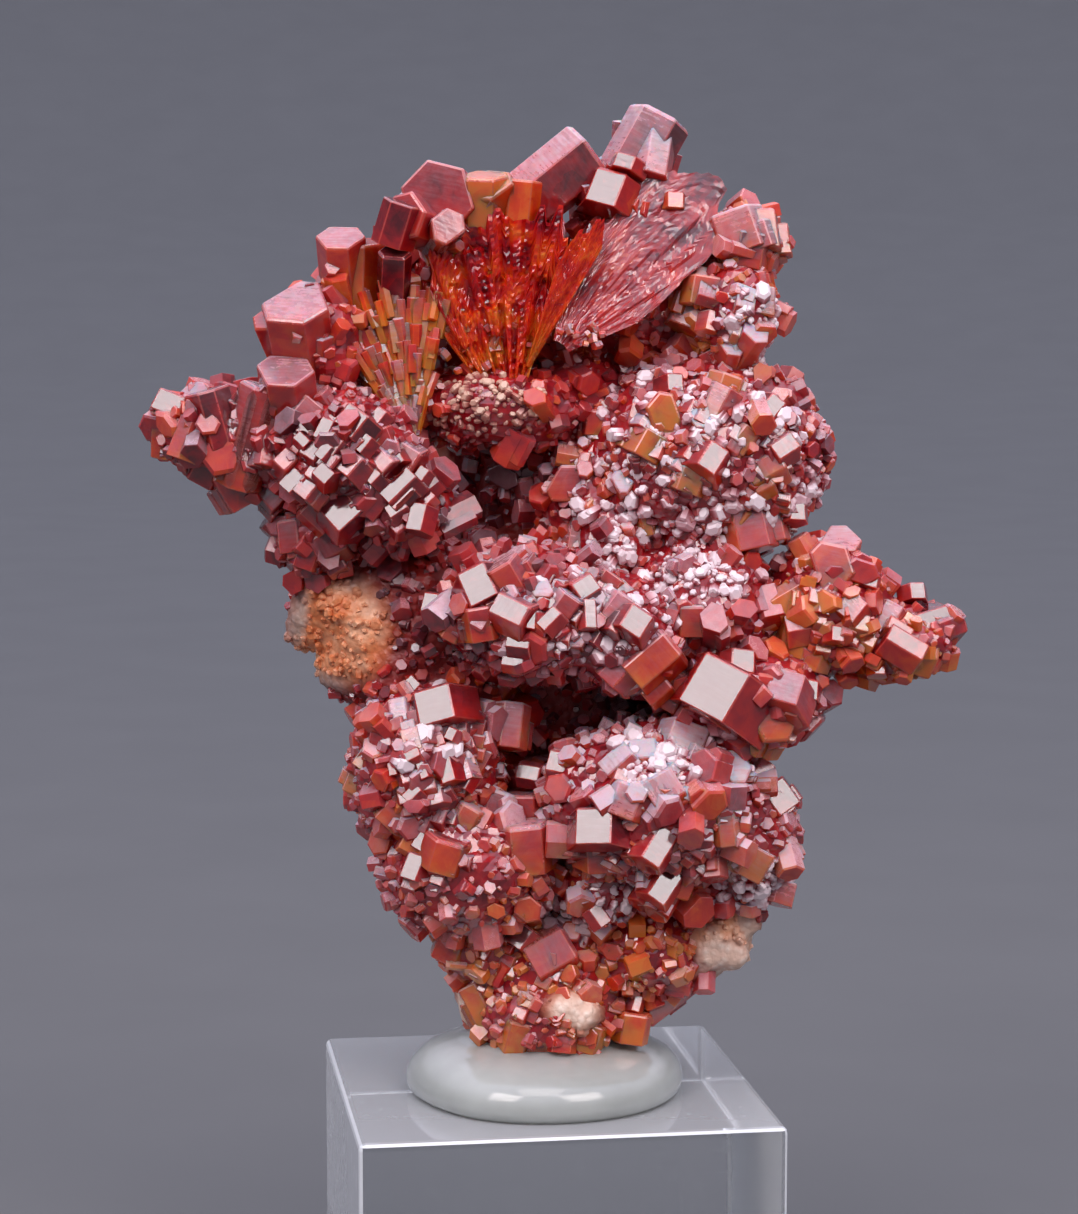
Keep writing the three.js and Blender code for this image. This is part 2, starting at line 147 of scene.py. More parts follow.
ROCK = [
    ((575, 430), 7, (12.5, 6.5, 13)),
    ((560, 640), 5, (15, 8, 12)),
    ((396, 604), 1, (8.8, 6.6, 5.6)),
    ((420, 650), 0.5, (8.6, 6.6, 5.8)),
    ((438, 688), 0, (7.2, 6, 4.8)),
    ((590, 850), 4, (13, 8, 11)),
    ((565, 990), 1, (7, 5.6, 5.4)),
    ((738, 912), -2, (2.8, 4, 2.6)),
    ((712, 938), -2, (3.6, 4.2, 2.8)),
    ((692, 964), -1.6, (2.2, 3.6, 1.7)),
    ((562, 1006), -5.7, (2.4, 2.5, 1.6)),
    ((586, 1014), -5.7, (2.2, 2.5, 1.6)),
    ((469, 1000), -1, (0.8, 1.6, 2.4)),
]
# Places on the front, each a pixel with a half width and half height in pixels:
# bare rock, chalky white rock, frosted grains, fine grainy masses, orange growth, and hollows painted dark as
# painted shade
BARE_ROCK = [((466, 1000), (12, 36)), ((338, 632), (62, 66)), ((728, 945), (46, 46)), ((574, 1012), (34, 26))]
CHALK = [
    ((466, 1000), (16, 36)), ((294, 608), (16, 46)), ((322, 692), (32, 22)),
    ((722, 962), (44, 30)), ((574, 1012), (34, 24)), ((756, 925), (24, 24)),
]
RIMED = [
    ((690, 480), (140, 120)), ((755, 330), (45, 55)), ((590, 625), (110, 55)), ((700, 755), (115, 50)),
    ((745, 880), (60, 45)), ((440, 735), (50, 50)), ((800, 510), (45, 70)), ((600, 900), (90, 40)),
]
GRAINY = [
    ((700, 580), (52, 36)), ((612, 540), (34, 36)), ((485, 405), (62, 38)),
    ((755, 330), (26, 32)), ((755, 880), (34, 26)), ((655, 770), (40, 26)),
]
ORANGE = [
    ((800, 620), (50, 60)), ((880, 640), (80, 50)), ((500, 980), (90, 70)), ((640, 960), (70, 50)),
    ((735, 240), (50, 40)), ((560, 900), (110, 60)), ((410, 330), (60, 60)),
]
SHADED_HOLLOWS = [((490, 490), (70, 70)), ((600, 710), (110, 34)), ((390, 590), (50, 50)), ((450, 640), (60, 30))]

# How each group's small crystals grow: size and spacing of the middle ones and of the fine ones in
# millimetres, lowest and highest tone from wine red (0) to orange (1), and how frosted they are, the frost's
# lilac veil being partly a painted sheen
DRUSE = {
    "fan_sheaf": (0.94, 1.99, 0.4, 0.88, 0.35, 0.75, 0.15),
    "fan_left_rim": (1.0, 1.99, 0.4, 0.88, 0.4, 0.8, 0.2),
    "fan_right_rim": (0.87, 1.75, 0.4, 0.88, 0.55, 0.95, 0.5),
    "left_arm": (1.0, 1.87, 0.4, 0.88, 0.3, 0.6, 0.3),
    "left_shoulder": (0.81, 1.64, 0.38, 0.83, 0.2, 0.5, 0.35),
    "upper_right_druse": (0.87, 1.87, 0.4, 0.88, 0.3, 0.85, 0.5),
    "right_arm": (0.87, 1.75, 0.4, 0.88, 0.5, 0.9, 0.3),
    "central_cluster": (0.87, 1.75, 0.4, 0.88, 0.25, 0.6, 0.45),
    "right_shelf": (0.87, 1.87, 0.4, 0.88, 0.35, 0.75, 0.4),
    "lower_left_cluster": (0.87, 1.75, 0.4, 0.88, 0.4, 0.85, 0.55),
    "lower_right_cluster": (0.94, 1.87, 0.4, 0.88, 0.4, 0.85, 0.75),
    "foot_cluster": (0.69, 1.43, 0.38, 0.8, 0.55, 1.0, 0.3),
    "back_upper_cluster": (1.12, 2.11, 0.45, 0.99, 0.25, 0.7, 0.3),
    "back_lower_cluster": (1.12, 2.11, 0.45, 0.99, 0.25, 0.75, 0.3),
    "matrix_rock": (0.81, 1.64, 0.38, 0.83, 0.25, 0.7, 0.3),
}

# Turns to the right and up, in degrees, of the faces that throw a front softbox straight at the viewer
LEFT = (-17, 23)
RIGHT = (17, 23)

# Fields of small, nearly parallel crystals. A row holds: pixel, half width and height, filled share,
# smallest and largest face in pixels, turn to the right and up, roll, tone, frost
TERRACES = {
    "left_shoulder": [
        ((345, 455), (62, 48), 0.8, (9, 20), LEFT, 35, 0.25, 0.1),
        ((405, 500), (25, 30), 0.7, (9, 16), LEFT, 41, 0.25, 0.1),
    ],
    "central_cluster": [
        ((560, 610), (90, 40), 0.35, (8, 15), LEFT, 20, 0.35, 0.25),
        ((620, 615), (50, 35), 0.35, (8, 15), RIGHT, 38, 0.35, 0.25),
    ],
    "lower_left_cluster": [
        ((430, 755), (50, 50), 0.5, (8, 15), LEFT, -20, 0.4, 0.15),
        ((430, 850), (40, 40), 0.35, (8, 14), LEFT, 15, 0.35, 0.1),
    ],
    "lower_right_cluster": [
        ((680, 760), (70, 40), 0.4, (8, 17), RIGHT, 30, 0.35, 0.4),
        ((650, 870), (60, 40), 0.3, (8, 14), RIGHT, 40, 0.4, 0.2),
    ],
    "upper_right_druse": [
        ((720, 440), (80, 60), 0.3, (9, 16), RIGHT, 35, 0.4, 0.3),
        ((610, 440), (50, 40), 0.3, (8, 14), LEFT, 10, 0.5, 0.2),
    ],
    "right_arm": [
        ((820, 620), (50, 40), 0.3, (8, 14), RIGHT, 20, 0.8, 0.1),
        ((895, 640), (50, 30), 0.3, (8, 14), RIGHT, 124, 0.8, 0.1),
    ],
    "left_arm": [((215, 440), (50, 35), 0.3, (9, 15), LEFT, 15, 0.3, 0.2)],
    "foot_cluster": [
        ((540, 960), (70, 70), 0.35, (7, 13), LEFT, 20, 0.7, 0.1),
        ((600, 990), (60, 50), 0.25, (7, 12), RIGHT, 20, 0.8, 0.1),
    ],
    "right_shelf": [((750, 680), (60, 35), 0.3, (9, 15), RIGHT, 15, 0.4, 0.2)],
    "fan_right_rim": [((735, 300), (40, 50), 0.4, (8, 15), RIGHT, 20, 0.6, 0.5)],
}

# Fans of stacked laths that spread from a root. A row holds: root pixel, angles from upright, number of rays,
# nearest and farthest distance in pixels, widths, lengths, turn and rise of the faces and how far both stray,
# tones, frosts, depth at the near and far end in millimetres
FANS = [
    (
        (412, 440), (-36, 14), 26, (26, 146), (4, 8), (14, 32), (0, 6), 10,
        (0.5, 0.95), (0.0, 0.6), (-4.4, -3.0),
    ),
]

# Jumbles of broken flakes. A row holds: pixel, half width and height, number, smallest and largest flake
# in pixels, how far their faces stray, tones, frosts, depths in millimetres
JUMBLES = [
    ((478, 285), (56, 70), 22, (3, 8), 14, (0.3, 0.9), (0.0, 0.0), (-3.0, -2.8)),
    ((480, 335), (60, 44), 22, (3, 7), 16, (0.3, 0.8), (0.2, 0.5), (-3.1, -2.9)),
    ((580, 340), (26, 16), 14, (3, 6), 24, (0.4, 0.8), (0.2, 0.6), (-4.6, -4.2)),
]

# Ragged plates of fused laths in the fan. A row holds: surface, root pixel, nearest distance in pixels,
# farthest distance at angles from upright, splits (angle, near and far end), depth at the root and its change
# with each pixel upwards in millimetres, relief of steps, ridges and grain in millimetres, tone, how far the
# tone strays, frost
PLATES = [
    (
        GROWN, (550, 360), 20,
        [
            (10, 90), (16, 132), (22, 155), (28, 195), (33, 232), (36, 241),
            (41, 246), (46, 245), (51, 218), (57, 180), (62, 130), (67, 96),
        ],
        [(49, 60, 122), (56, 60, 110)],
        -4.4, 0.0245, (0.07, 0.1, 0.03), 0.12, 0.3, 0.17,
    ),
    (
        CLEAR, (512, 425), 30,
        [(-38, 110), (-33, 150), (-24, 190), (-18, 205), (0, 208), (8, 215), (14, 215), (19, 170)],
        [], -2.7, -0.004, (0.34, 0.3, 0.16), 0.42, 0.6, 0.0,
    ),
    (
        CLEAR, (520, 385), 20, [(17, 120), (21, 172), (26, 182), (31, 150)],
        [], -3.2, -0.008, (0.05, 0.3, 0.05), 0.5, 0.25, 0.0,
    ),
]

# Large crystals, each set by the face that it shows. A row holds: kind (side or end face), pixel of the
# face's middle, turn to the right, turn up, roll clockwise, face width and length in pixels, tone, frost,
# and for some a depth in millimetres; the others are seated on their group's crust.
LARGE = {
    "left_arm": [
        ("side", (184, 429), (-26, 17), 14, 18, 58, 0.25, 0.25),
        ("side", (168, 402), LEFT, 20, 25, 23, 0.3, 0.1),
        ("end", (194, 394), (-5, 50), 0, 22, 60, 0.25, 0.3),
        ("side", (214, 420), (8, 0), -15, 25, 58, 0.05, 0.2),
        ("side", (158, 436), (-30, -10), 10, 22, 48, 0.35, 0.05),
        ("side", (250, 440), (2, -4), 16, 26, 104, 0.3, 0.15),
        ("side", (272, 436), (26, 14), 16, 22, 60, 0.25, 0.35),
        ("side", (236, 488), (0, -8), -30, 27, 42, 0.1, 0.25),
        ("side", (205, 468), (0, -14), 30, 24, 38, 0.02, 0.05),
        ("side", (270, 490), (-10, 12), -45, 24, 34, 0.12, 0.4),
        ("end", (262, 396), (-5, 50), 0, 22, 60, 0.65, 0.1),
    ],
    "fan_left_rim": [
        ("end", (299, 299), (-10, 56), 8, 38, 92, 0.22, 0.3, -4.6),
        ("end", (268, 318), (-25, 50), 0, 18, 50, 0.5, 0.1, -4.4),
        ("end", (283, 370), (-6, 55), 4, 27, 60, 0.26, 0.3, -6.2),
        ("end", (341, 238), (-4, 60), 2, 27, 95, 0.45, 0.25, -3.2),
        ("end", (393, 250), (6, 55), 8, 18, 80, 0.0, 0.1, -4.2),
        ("side", (348, 285), (-8, -8), 4, 34, 80, 0.7, 0.0, -2.8),
        ("side", (322, 345), (10, -4), 16, 26, 76, 0.6, 0.25, -3.8),
        ("side", (330, 390), (-10, 10), 10, 24, 40, 0.45, 0.5),
        ("side", (302, 396), (0, -6), 4, 30, 40, 0.7, 0.0),
    ],
    "fan_sheaf": [
        ("end", (434, 194), (-8, 6), 14, 36, 110, 0.25, 0.35, -3.6),
        ("end", (402, 214), (-30, 10), -12, 24, 80, 0.25, 0.15, -4.4),
        ("end", (448, 226), (12, 14), 24, 20, 70, 0.4, 0.35, -5.2),
        ("side", (396, 226), (-4, -6), 18, 22, 44, 0.1, 0.0, -5.6),
        ("end", (492, 184), (-14, 48), 8, 25, 110, 0.85, 0.0, -3),
        ("side", (482, 214), (-6, -14), 2, 24, 70, 0.8, 0.0, -3.6),
        ("side", (516, 215), (0, 0), 6, 24, 70, 0.8, 0.0, -3),
        ("side", (545, 157), (-24, 34), 41, 37, 84, 0.1, 0.42, -0.3),
        ("side", (607, 186), LEFT, 15, 43, 38, 0.4, 0.0, -1.1),
        ("side", (623, 160), LEFT, 15, 24, 16, 0.4, 0.1, -0.9),
        ("side", (640, 146), (-4, 12), 28, 36, 84, 0.1, 0.5, 0.8),
        ("side", (659, 150), (20, 26), 18, 20, 54, 0.1, 0.6, 0.3),
        ("side", (674, 199), (10, 20), 5, 17, 17, 0.5, 0.0, -0.9),
    ],
    "fan_right_rim": [
        ("side", (766, 226), (20, 20), 0, 28, 42, 0.55, 0.0),
        ("side", (735, 230), (-10, 10), -20, 32, 44, 0.3, 0.3),
        ("side", (752, 250), (5, 0), 10, 26, 36, 0.45, 0.0),
        ("side", (707, 290), (0, 10), 10, 27, 30, 0.8, 0.1),
        ("end", (757, 330), (30, 40), 0, 18, 45, 0.4, 0.7),
        ("end", (735, 345), (10, 40), 10, 16, 40, 0.4, 0.7),
        ("side", (768, 300), (25, 15), 10, 20, 30, 0.5, 0.7),
        ("side", (688, 312), (-15, 25), 20, 22, 28, 0.5, 0.6),
    ],
    "left_shoulder": [
        ("side", (350, 420), LEFT, 33, 23, 29, 0.2, 0.0),
        ("side", (362, 442), LEFT, 33, 13, 19, 0.2, 0.0),
        ("side", (323, 428), LEFT, 20, 12, 22, 0.2, 0.0),
        ("side", (301, 439), LEFT, -50, 11, 17, 0.2, 0.0),
        ("side", (324, 451), LEFT, 35, 13, 17, 0.2, 0.05),
        ("side", (324, 471), LEFT, -52, 16, 20, 0.2, 0.0),
        ("side", (292, 480), LEFT, 38, 18, 23, 0.2, 0.0),
        ("side", (340, 507), LEFT, -47, 28, 38, 0.2, 0.0),
        ("side", (397, 484), LEFT, 41, 20, 38, 0.2, 0.0),
        ("side", (396, 456), LEFT, -35, 10, 17, 0.2, 0.0),
        ("side", (416, 516), LEFT, 6, 17, 28, 0.2, 0.0),
        ("side", (350, 463), (-14, 27), 35, 21, 25, 0.2, 0.25),
        ("end", (380, 468), (-15, 24), 0, 10, 26, 0.2, 0.3),
        ("side", (420, 476), LEFT, 30, 12, 20, 0.2, 0.1),
        ("side", (308, 412), (8, 12), 40, 20, 26, 0.08, 0.35),
        ("side", (321, 512), (-4, -6), -47, 26, 34, 0.1, 0.3),
        ("side", (377, 503), (4, -4), 41, 20, 34, 0.15, 0.1),
        ("side", (286, 536), (-20, 10), -10, 24, 34, 0.25, 0.35),
        ("side", (329, 546), (0, 4), 60, 24, 32, 0.1, 0.4),
        ("side", (305, 556), (-6, 0), 20, 18, 26, 0.2, 0.3),
        ("side", (360, 540), (2, 0), 10, 22, 30, 0.2, 0.1),
        ("side", (385, 440), (10, 5), -20, 16, 24, 0.25, 0.2),
        ("side", (335, 440), (-5, 5), 10, 18, 24, 0.2, 0.2),
    ],
    "upper_right_druse": [
        ("side", (728, 388), (14, 2), 20, 21, 28, 0.95, 0.0),
        ("side", (713, 404), (-16, 14), 24, 20, 44, 0.45, 0.3),
        ("end", (664, 411), (0, 8), 10, 22, 42, 0.75, 0.1),
        ("side", (674, 381), RIGHT, 4, 18, 19, 0.4, 0.1),
        ("side", (714, 457), RIGHT, 38, 25, 32, 0.4, 0.1),
        ("side", (772, 405), RIGHT, 45, 20, 26, 0.4, 0.15),
        ("side", (650, 445), (4, 6), 30, 22, 28, 0.9, 0.05),
        ("side", (600, 423), (-6, 4), 5, 22, 26, 0.4, 0.1),
        ("end", (566, 486), (-10, 5), 0, 24, 42, 0.4, 0.25),
        ("side", (575, 461), (0, -10), 100, 12, 38, 0.75, 0.0),
        ("side", (766, 468), (-4, 14), 60, 22, 38, 0.6, 0.25),
        ("side", (797, 505), RIGHT, 5, 15, 30, 0.4, 0.1),
        ("side", (809, 504), (20, -10), 5, 13, 16, 0.3, 0.0),
        ("side", (751, 522), (4, 14), -12, 30, 52, 0.45, 0.4),
        *[("side", (779, 496 + 8 * i), (12, 22), 104, 7, 25, 0.45, 0.5) for i in range(6)],
        ("side", (645, 518), (0, 0), -14, 12, 36, 0.85, 0.0),
        ("side", (786, 446), RIGHT, 60, 20, 28, 0.5, 0.2),
        ("end", (625, 481), (-4, 24), 0, 14, 34, 0.4, 0.9),
        ("end", (701, 418), (4, 26), 0, 14, 30, 0.4, 0.85),
        ("side", (576, 535), (-6, 14), 8, 16, 56, 0.4, 0.55),
        ("side", (690, 480), (4, 0), 20, 20, 26, 0.6, 0.2),
        ("side", (745, 440), (10, 6), 40, 20, 28, 0.55, 0.3),
    ],
    "right_arm": [
        ("end", (832, 568), (-5, 14), 12, 29, 66, 0.55, 0.15),
        ("end", (838, 540), (5, 52), 0, 26, 70, 0.4, 0.35),
        ("side", (935, 618), RIGHT, 76, 22, 38, 0.3, 0.0),
        ("side", (908, 643), RIGHT, 124, 20, 43, 0.5, 0.05),
        ("side", (919, 590), RIGHT, 2, 18, 17, 0.4, 0.2),
        ("side", (955, 628), (30, 6), 76, 22, 34, 0.15, 0.25),
        ("side", (886, 616), (-2, 30), 30, 22, 36, 0.4, 0.4),
        ("side", (851, 606), (5, 24), 40, 18, 26, 0.35, 0.4),
        ("side", (791, 640), (-10, 4), 10, 24, 34, 0.8, 0.0),
        ("side", (802, 622), (0, 34), 80, 18, 32, 0.5, 0.3),
        ("side", (839, 633), RIGHT, 10, 13, 16, 0.6, 0.0),
        ("side", (881, 667), RIGHT, 5, 12, 14, 0.6, 0.0),
        ("side", (790, 600), (4, 10), 60, 18, 34, 0.9, 0.05),
        ("side", (915, 664), (0, -20), 110, 24, 42, 0.85, 0.0),
        ("side", (815, 656), (-10, 5), 20, 20, 30, 0.8, 0.1),
        ("side", (872, 578), RIGHT, 20, 14, 18, 0.5, 0.3),
    ],
    "central_cluster": [
        ("side", (474, 584), LEFT, -30, 34, 40, 0.3, 0.1),
        ("side", (487, 561), (0, 44), 80, 22, 54, 0.35, 0.3),
        ("side", (438, 602), LEFT, 96, 21, 33, 0.3, 0.0),
        ("side", (510, 609), LEFT, 113, 23, 38, 0.35, 0.2),
        ("side", (531, 618), RIGHT, 10, 9, 21, 0.35, 0.0),
        ("side", (510, 584), (6, -8), -30, 24, 40, 0.35, 0.1),
        ("side", (518, 641), LEFT, 95, 16, 24, 0.35, 0.1),
        ("side", (513, 658), LEFT, 95, 14, 22, 0.35, 0.2),
        ("side", (549, 618), LEFT, 40, 15, 24, 0.35, 0.2),
        ("side", (566, 610), (0, -4), 35, 22, 28, 0.1, 0.05),
        ("side", (586, 585), RIGHT, 60, 20, 25, 0.35, 0.2),
        ("side", (591, 613), RIGHT, 4, 11, 29, 0.35, 0.3),
        ("side", (607, 585), (0, 2), 35, 18, 24, 0.55, 0.1),
        ("side", (617, 608), (-4, 16), 35, 27, 32, 0.25, 0.4),
        ("side", (637, 620), RIGHT, 38, 26, 30, 0.35, 0.15),
        ("side", (655, 662), (4, 4), 50, 34, 54, 0.5, 0.25),
        ("side", (618, 668), (-12, 14), 40, 22, 36, 0.3, 0.4),
        ("end", (541, 590), (-10, 26), 0, 12, 26, 0.35, 0.8),
        ("end", (573, 640), (-6, 20), 0, 11, 26, 0.35, 0.75),
        ("side", (554, 671), LEFT, 95, 11, 15, 0.35, 0.1),
        ("side", (480, 625), (-5, 0), -10, 22, 34, 0.45, 0.1),
        ("side", (455, 628), (-5, -4), 30, 20, 30, 0.55, 0.05),
    ],
    "right_shelf": [
        ("side", (717, 687), LEFT, 25, 52, 56, 0.35, 0.05),
        ("side", (744, 660), RIGHT, 10, 20, 24, 0.4, 0.1),
        ("side", (809, 688), RIGHT, 12, 22, 22, 0.45, 0.05),
        ("side", (782, 684), (4, 44), 20, 34, 40, 0.35, 0.3),
        ("end", (780, 717), (15, 12), 0, 32, 55, 0.6, 0.3),
        ("side", (752, 733), (-10, -10), 30, 28, 42, 0.7, 0.0),
        ("side", (690, 622), (0, -8), 0, 26, 32, 0.45, 0.0),
        ("side", (670, 690), (-20, 0), 25, 30, 42, 0.4, 0.0),
    ],
    "lower_left_cluster": [
        ("side", (480, 671), LEFT, -38, 30, 40, 0.35, 0.1),
        ("side", (432, 704), LEFT, -19, 38, 38, 0.35, 0.05),
        ("side", (399, 709), (-12, 30), -15, 22, 26, 0.35, 0.45),
        ("side", (409, 685), LEFT, 40, 15, 18, 0.35, 0.1),
        ("side", (490, 697), (10, -6), 40, 30, 46, 0.6, 0.05),
        ("side", (494, 726), (-10, -6), 18, 12, 50, 0.5, 0.0),
        ("side", (512, 724), (6, 16), 8, 19, 46, 0.45, 0.45),
        *[("side", (472, 728 + 13 * i), (-8, 6), 100, 10, 24, 0.5, 0.25) for i in range(3)],
        ("end", (441, 722), (-8, 26), 0, 10, 24, 0.35, 0.6),
        ("side", (410, 739), (-12, 22), -20, 18, 24, 0.6, 0.4),
        ("side", (446, 769), LEFT, -22, 17, 26, 0.4, 0.0),
        ("side", (421, 769), LEFT, -28, 8, 20, 0.4, 0.0),
        ("side", (412, 755), LEFT, 60, 9, 16, 0.5, 0.0),
        ("side", (450, 733), LEFT, 20, 11, 13, 0.4, 0.0),
        ("side", (465, 779), LEFT, 25, 11, 18, 0.3, 0.0),
        ("side", (528, 773), LEFT, 97, 14, 25, 0.35, 0.1),
        ("end", (499, 772), (-10, 24), 0, 8, 22, 0.35, 0.7),
        ("side", (491, 798), (-8, 24), 22, 10, 27, 0.35, 0.35),
        ("side", (500, 810), (6, 6), 20, 22, 36, 0.3, 0.4),
        ("side", (520, 812), (-4, 2), 0, 24, 32, 0.35, 0.15),
        ("side", (547, 812), (22, 8), -5, 22, 42, 0.45, 0.3),
        ("side", (524, 852), (6, -2), -5, 32, 50, 0.5, 0.05),
        ("side", (466, 823), (0, -4), 30, 22, 32, 0.85, 0.0),
        ("side", (448, 843), LEFT, 107, 8, 34, 0.4, 0.0),
        ("side", (448, 860), (2, -6), 17, 30, 34, 0.45, 0.15),
        ("side", (424, 838), LEFT, 25, 15, 26, 0.35, 0.0),
        ("side", (413, 866), LEFT, 15, 16, 27, 0.35, 0.1),
        ("side", (412, 793), LEFT, 40, 11, 18, 0.4, 0.0),
        ("side", (353, 780), (-25, 10), 20, 20, 28, 0.9, 0.3),
        ("side", (362, 758), (-20, 20), 30, 13, 20, 0.95, 0.35),
        ("side", (396, 814), (-10, 4), 40, 24, 34, 0.5, 0.2),
        ("side", (378, 729), (-20, 6), 10, 22, 34, 0.2, 0.35),
        ("side", (372, 790), (-15, 8), 30, 18, 26, 0.3, 0.3),
        ("side", (480, 760), (2, 4), 30, 18, 26, 0.3, 0.25),
    ],
    "lower_right_cluster": [
        ("side", (596, 825), LEFT, -4, 36, 37, 0.35, 0.12),
        ("side", (567, 841), (-42, 10), -4, 24, 30, 0.3, 0.5),
        ("side", (599, 860), (2, -10), -4, 26, 30, 0.35, 0.1),
        ("side", (659, 845), RIGHT, 38, 20, 40, 0.4, 0.05),
        ("side", (669, 877), RIGHT, 40, 20, 55, 0.4, 0.1),
        ("side", (563, 761), LEFT, 99, 20, 32, 0.35, 0.15),
        ("side", (642, 748), (4, 40), 85, 21, 32, 0.35, 0.5),
        ("side", (614, 757), (-28, 28), 40, 21, 34, 0.35, 0.4),
        ("side", (688, 740), (8, 26), 25, 30, 40, 0.4, 0.45),
        ("end", (735, 766), (10, 36), 0, 21, 50, 0.4, 0.7),
        ("side", (781, 796), RIGHT, -30, 22, 32, 0.4, 0.1),
        ("side", (664, 788), (0, 24), 60, 26, 34, 0.35, 0.5),
        ("side", (625, 800), (-4, 12), 20, 24, 34, 0.3, 0.4),
        ("side", (726, 822), (4, 0), -6, 19, 50, 0.7, 0.1),
        ("side", (703, 834), (14, 32), 97, 15, 22, 0.3, 0.15),
        ("side", (754, 864), (15, -4), 30, 26, 32, 0.8, 0.1),
        ("side", (786, 893), (25, 10), 20, 18, 24, 0.5, 0.6),
        ("side", (640, 900), (-5, 0), 130, 20, 34, 0.15, 0.2),
        ("end", (697, 832), (8, 24), 0, 8, 22, 0.35, 0.8),
        ("side", (762, 770), (20, 24), 40, 16, 26, 0.35, 0.4),
        ("side", (600, 915), RIGHT, -30, 12, 22, 0.4, 0.2),
    ],
    "foot_cluster": [
        ("end", (545, 1056), (0, -25), 0, 19, 50, 0.55, 0.0),
        ("side", (562, 1044), (0, 12), 5, 16, 18, 0.5, 0.3),
        ("side", (480, 1010), (-22, 0), -30, 22, 54, 0.75, 0.0),
        ("side", (447, 946), (-25, 5), 20, 24, 36, 0.5, 0.0),
        ("side", (634, 1030), (8, 0), 10, 20, 32, 0.75, 0.0),
        ("side", (598, 918), LEFT, -35, 20, 26, 0.4, 0.3),
        ("side", (550, 950), (0, 20), 60, 40, 46, 0.45, 0.1),
        ("side", (518, 934), LEFT, 30, 18, 24, 0.35, 0.2),
        ("side", (515, 1040), (-5, -10), 15, 20, 36, 0.7, 0.0),
        ("side", (668, 1004), (12, -15), 50, 28, 56, 0.05, 0.1, -3.5),
        ("side", (468, 899), (0, 30), 20, 23, 26, 0.4, 0.3),
        ("side", (590, 1040), (5, 0), 20, 20, 30, 0.8, 0.0),
    ],
}

# Glow of the white tent around the stage, from the horizon (0) to straight above (1)
TENT = [(0.0, 0.1), (0.3, 0.35), (0.5, 0.95), (0.75, 1.5), (1.0, 1.8)]

# Outlines to turn, from the middle outwards:
# the putty dab as shares of its radius and height, the floor in metres
DAB = [
    (0.0, 0.0), (0.95, 0.0), (0.99, 0.12), (1.0, 0.3), (0.99, 0.5), (0.96, 0.7), (0.9, 0.9), (0.82, 1.05),
    (0.72, 1.16), (0.6, 1.24), (0.48, 1.34), (0.44, 1.6), (0.42, 2.0), (0.38, 2.4), (0.3, 2.5), (0.0, 2.5),
]
SWEEP = [(0.0, 0.0), (0.5, 0.0), (0.9, 0.0), (1.2, 0.03), (1.5, 0.11), (1.8, 0.26), (2.1, 0.48), (2.3, 0.7)]
# How far the dab's neck leans aside
NECK_LEAN = (-1.2 * MM, 1.5 * MM, 0)

# Softboxes on the viewer's side: turn to the right and rise in degrees, share of the power
SOFTBOXES = {"softbox_left": (-38, 38, 1.0), "softbox_top": (0, 66, 0.5), "softbox_right": (38, 38, 1.0)}
SOFTBOX_DISTANCE = 0.45
SOFTBOX_SIZE = 0.21


def colour(code, alpha=1.0):
    """A linear colour from an sRGB hex code."""
    parts = [int(code[i : i + 2], 16) / 255 for i in (1, 3, 5)]
    return tuple(c / 12.92 if c <= 0.04045 else ((c + 0.055) / 1.055) ** 2.4 for c in parts) + (alpha,)


# Property groups


class SpecimenSettings(bpy.types.PropertyGroup):
    """Sizes and colours of the crystals and the rock"""

    wine_red: FloatVectorProperty(
        name="Wine red", description="Thick, dark crystal", subtype="COLOR", default=colour("#610716")[:3],
    )
    orange: FloatVectorProperty(
        name="Orange", description="Thin, glowing crystal", subtype="COLOR", default=colour("#f07f27")[:3],
    )
    edge_width: FloatProperty(
        name="Edge width", description="Rounding of a large crystal's edges", default=0.075 * MM,
        unit="LENGTH",
    )
    crust_voxel: FloatProperty(
        name="Crust grain", description="Grid size of the crust under the crystals", default=0.6 * MM,
        unit="LENGTH",
    )
    rock_voxel: FloatProperty(
        name="Rock grain", description="Grid size of the bare rock", default=0.5 * MM, unit="LENGTH",
    )
    lean: FloatProperty(
        name="Lean", description="How far small crystals lean from the surface", default=0.9,
        min=0.0, max=2.0,
    )
    seed: IntProperty(name="Seed", description="Fixed seed of every random growth", default=7)


class StandSettings(bpy.types.PropertyGroup):
    """Sizes of the putty and the display block"""

    block_edge: FloatProperty(
        name="Block edge", description="Rounding of the block's polished edges", default=0.5 * MM,
        unit="LENGTH",
    )
    putty_radius: FloatProperty(
        name="Putty radius", description="Radius of the putty dab", default=10.1 * MM, unit="LENGTH",
    )
    putty_height: FloatProperty(
        name="Putty height", description="Height of the dab's crown", default=3.0 * MM, unit="LENGTH",
    )


class StageSettings(bpy.types.PropertyGroup):
    """Floor and lights"""

    floor_colour: FloatVectorProperty(
        name="Floor", description="Colour of the pale floor", subtype="COLOR", default=(0.1, 0.1, 0.1),
    )
    softbox_power: FloatProperty(
        name="Softbox power", description="Power of each front softbox", default=0.78, unit="POWER",
    )
    dome_strength: FloatProperty(
        name="Dome strength", description="Strength of the white tent overhead", default=1.1, min=0.0,
    )


# Places


def to_row(point):
    """A point in the specimen's own axes, in millimetres, as metres in the part's frame."""
    return Matrix.Rotation(SPECIMEN_TURN, 3, "Z") @ Vector(point) * MM


def sight_line(pixel):
    """Start and direction, in the specimen's axes, of the line of sight through a pixel."""
    right = Vector((1, 0, 0))
    forward = Vector((0, math.cos(EYE_TILT), -math.sin(EYE_TILT)))
    up = Vector((0, math.sin(EYE_TILT), math.cos(EYE_TILT)))
    across = (pixel[0] - PICTURE_CENTRE[0]) / FOCAL_PIXELS
    down = (pixel[1] - PICTURE_CENTRE[1]) / FOCAL_PIXELS
    return Vector(EYE_MM), (forward + right * across - up * down).normalized()


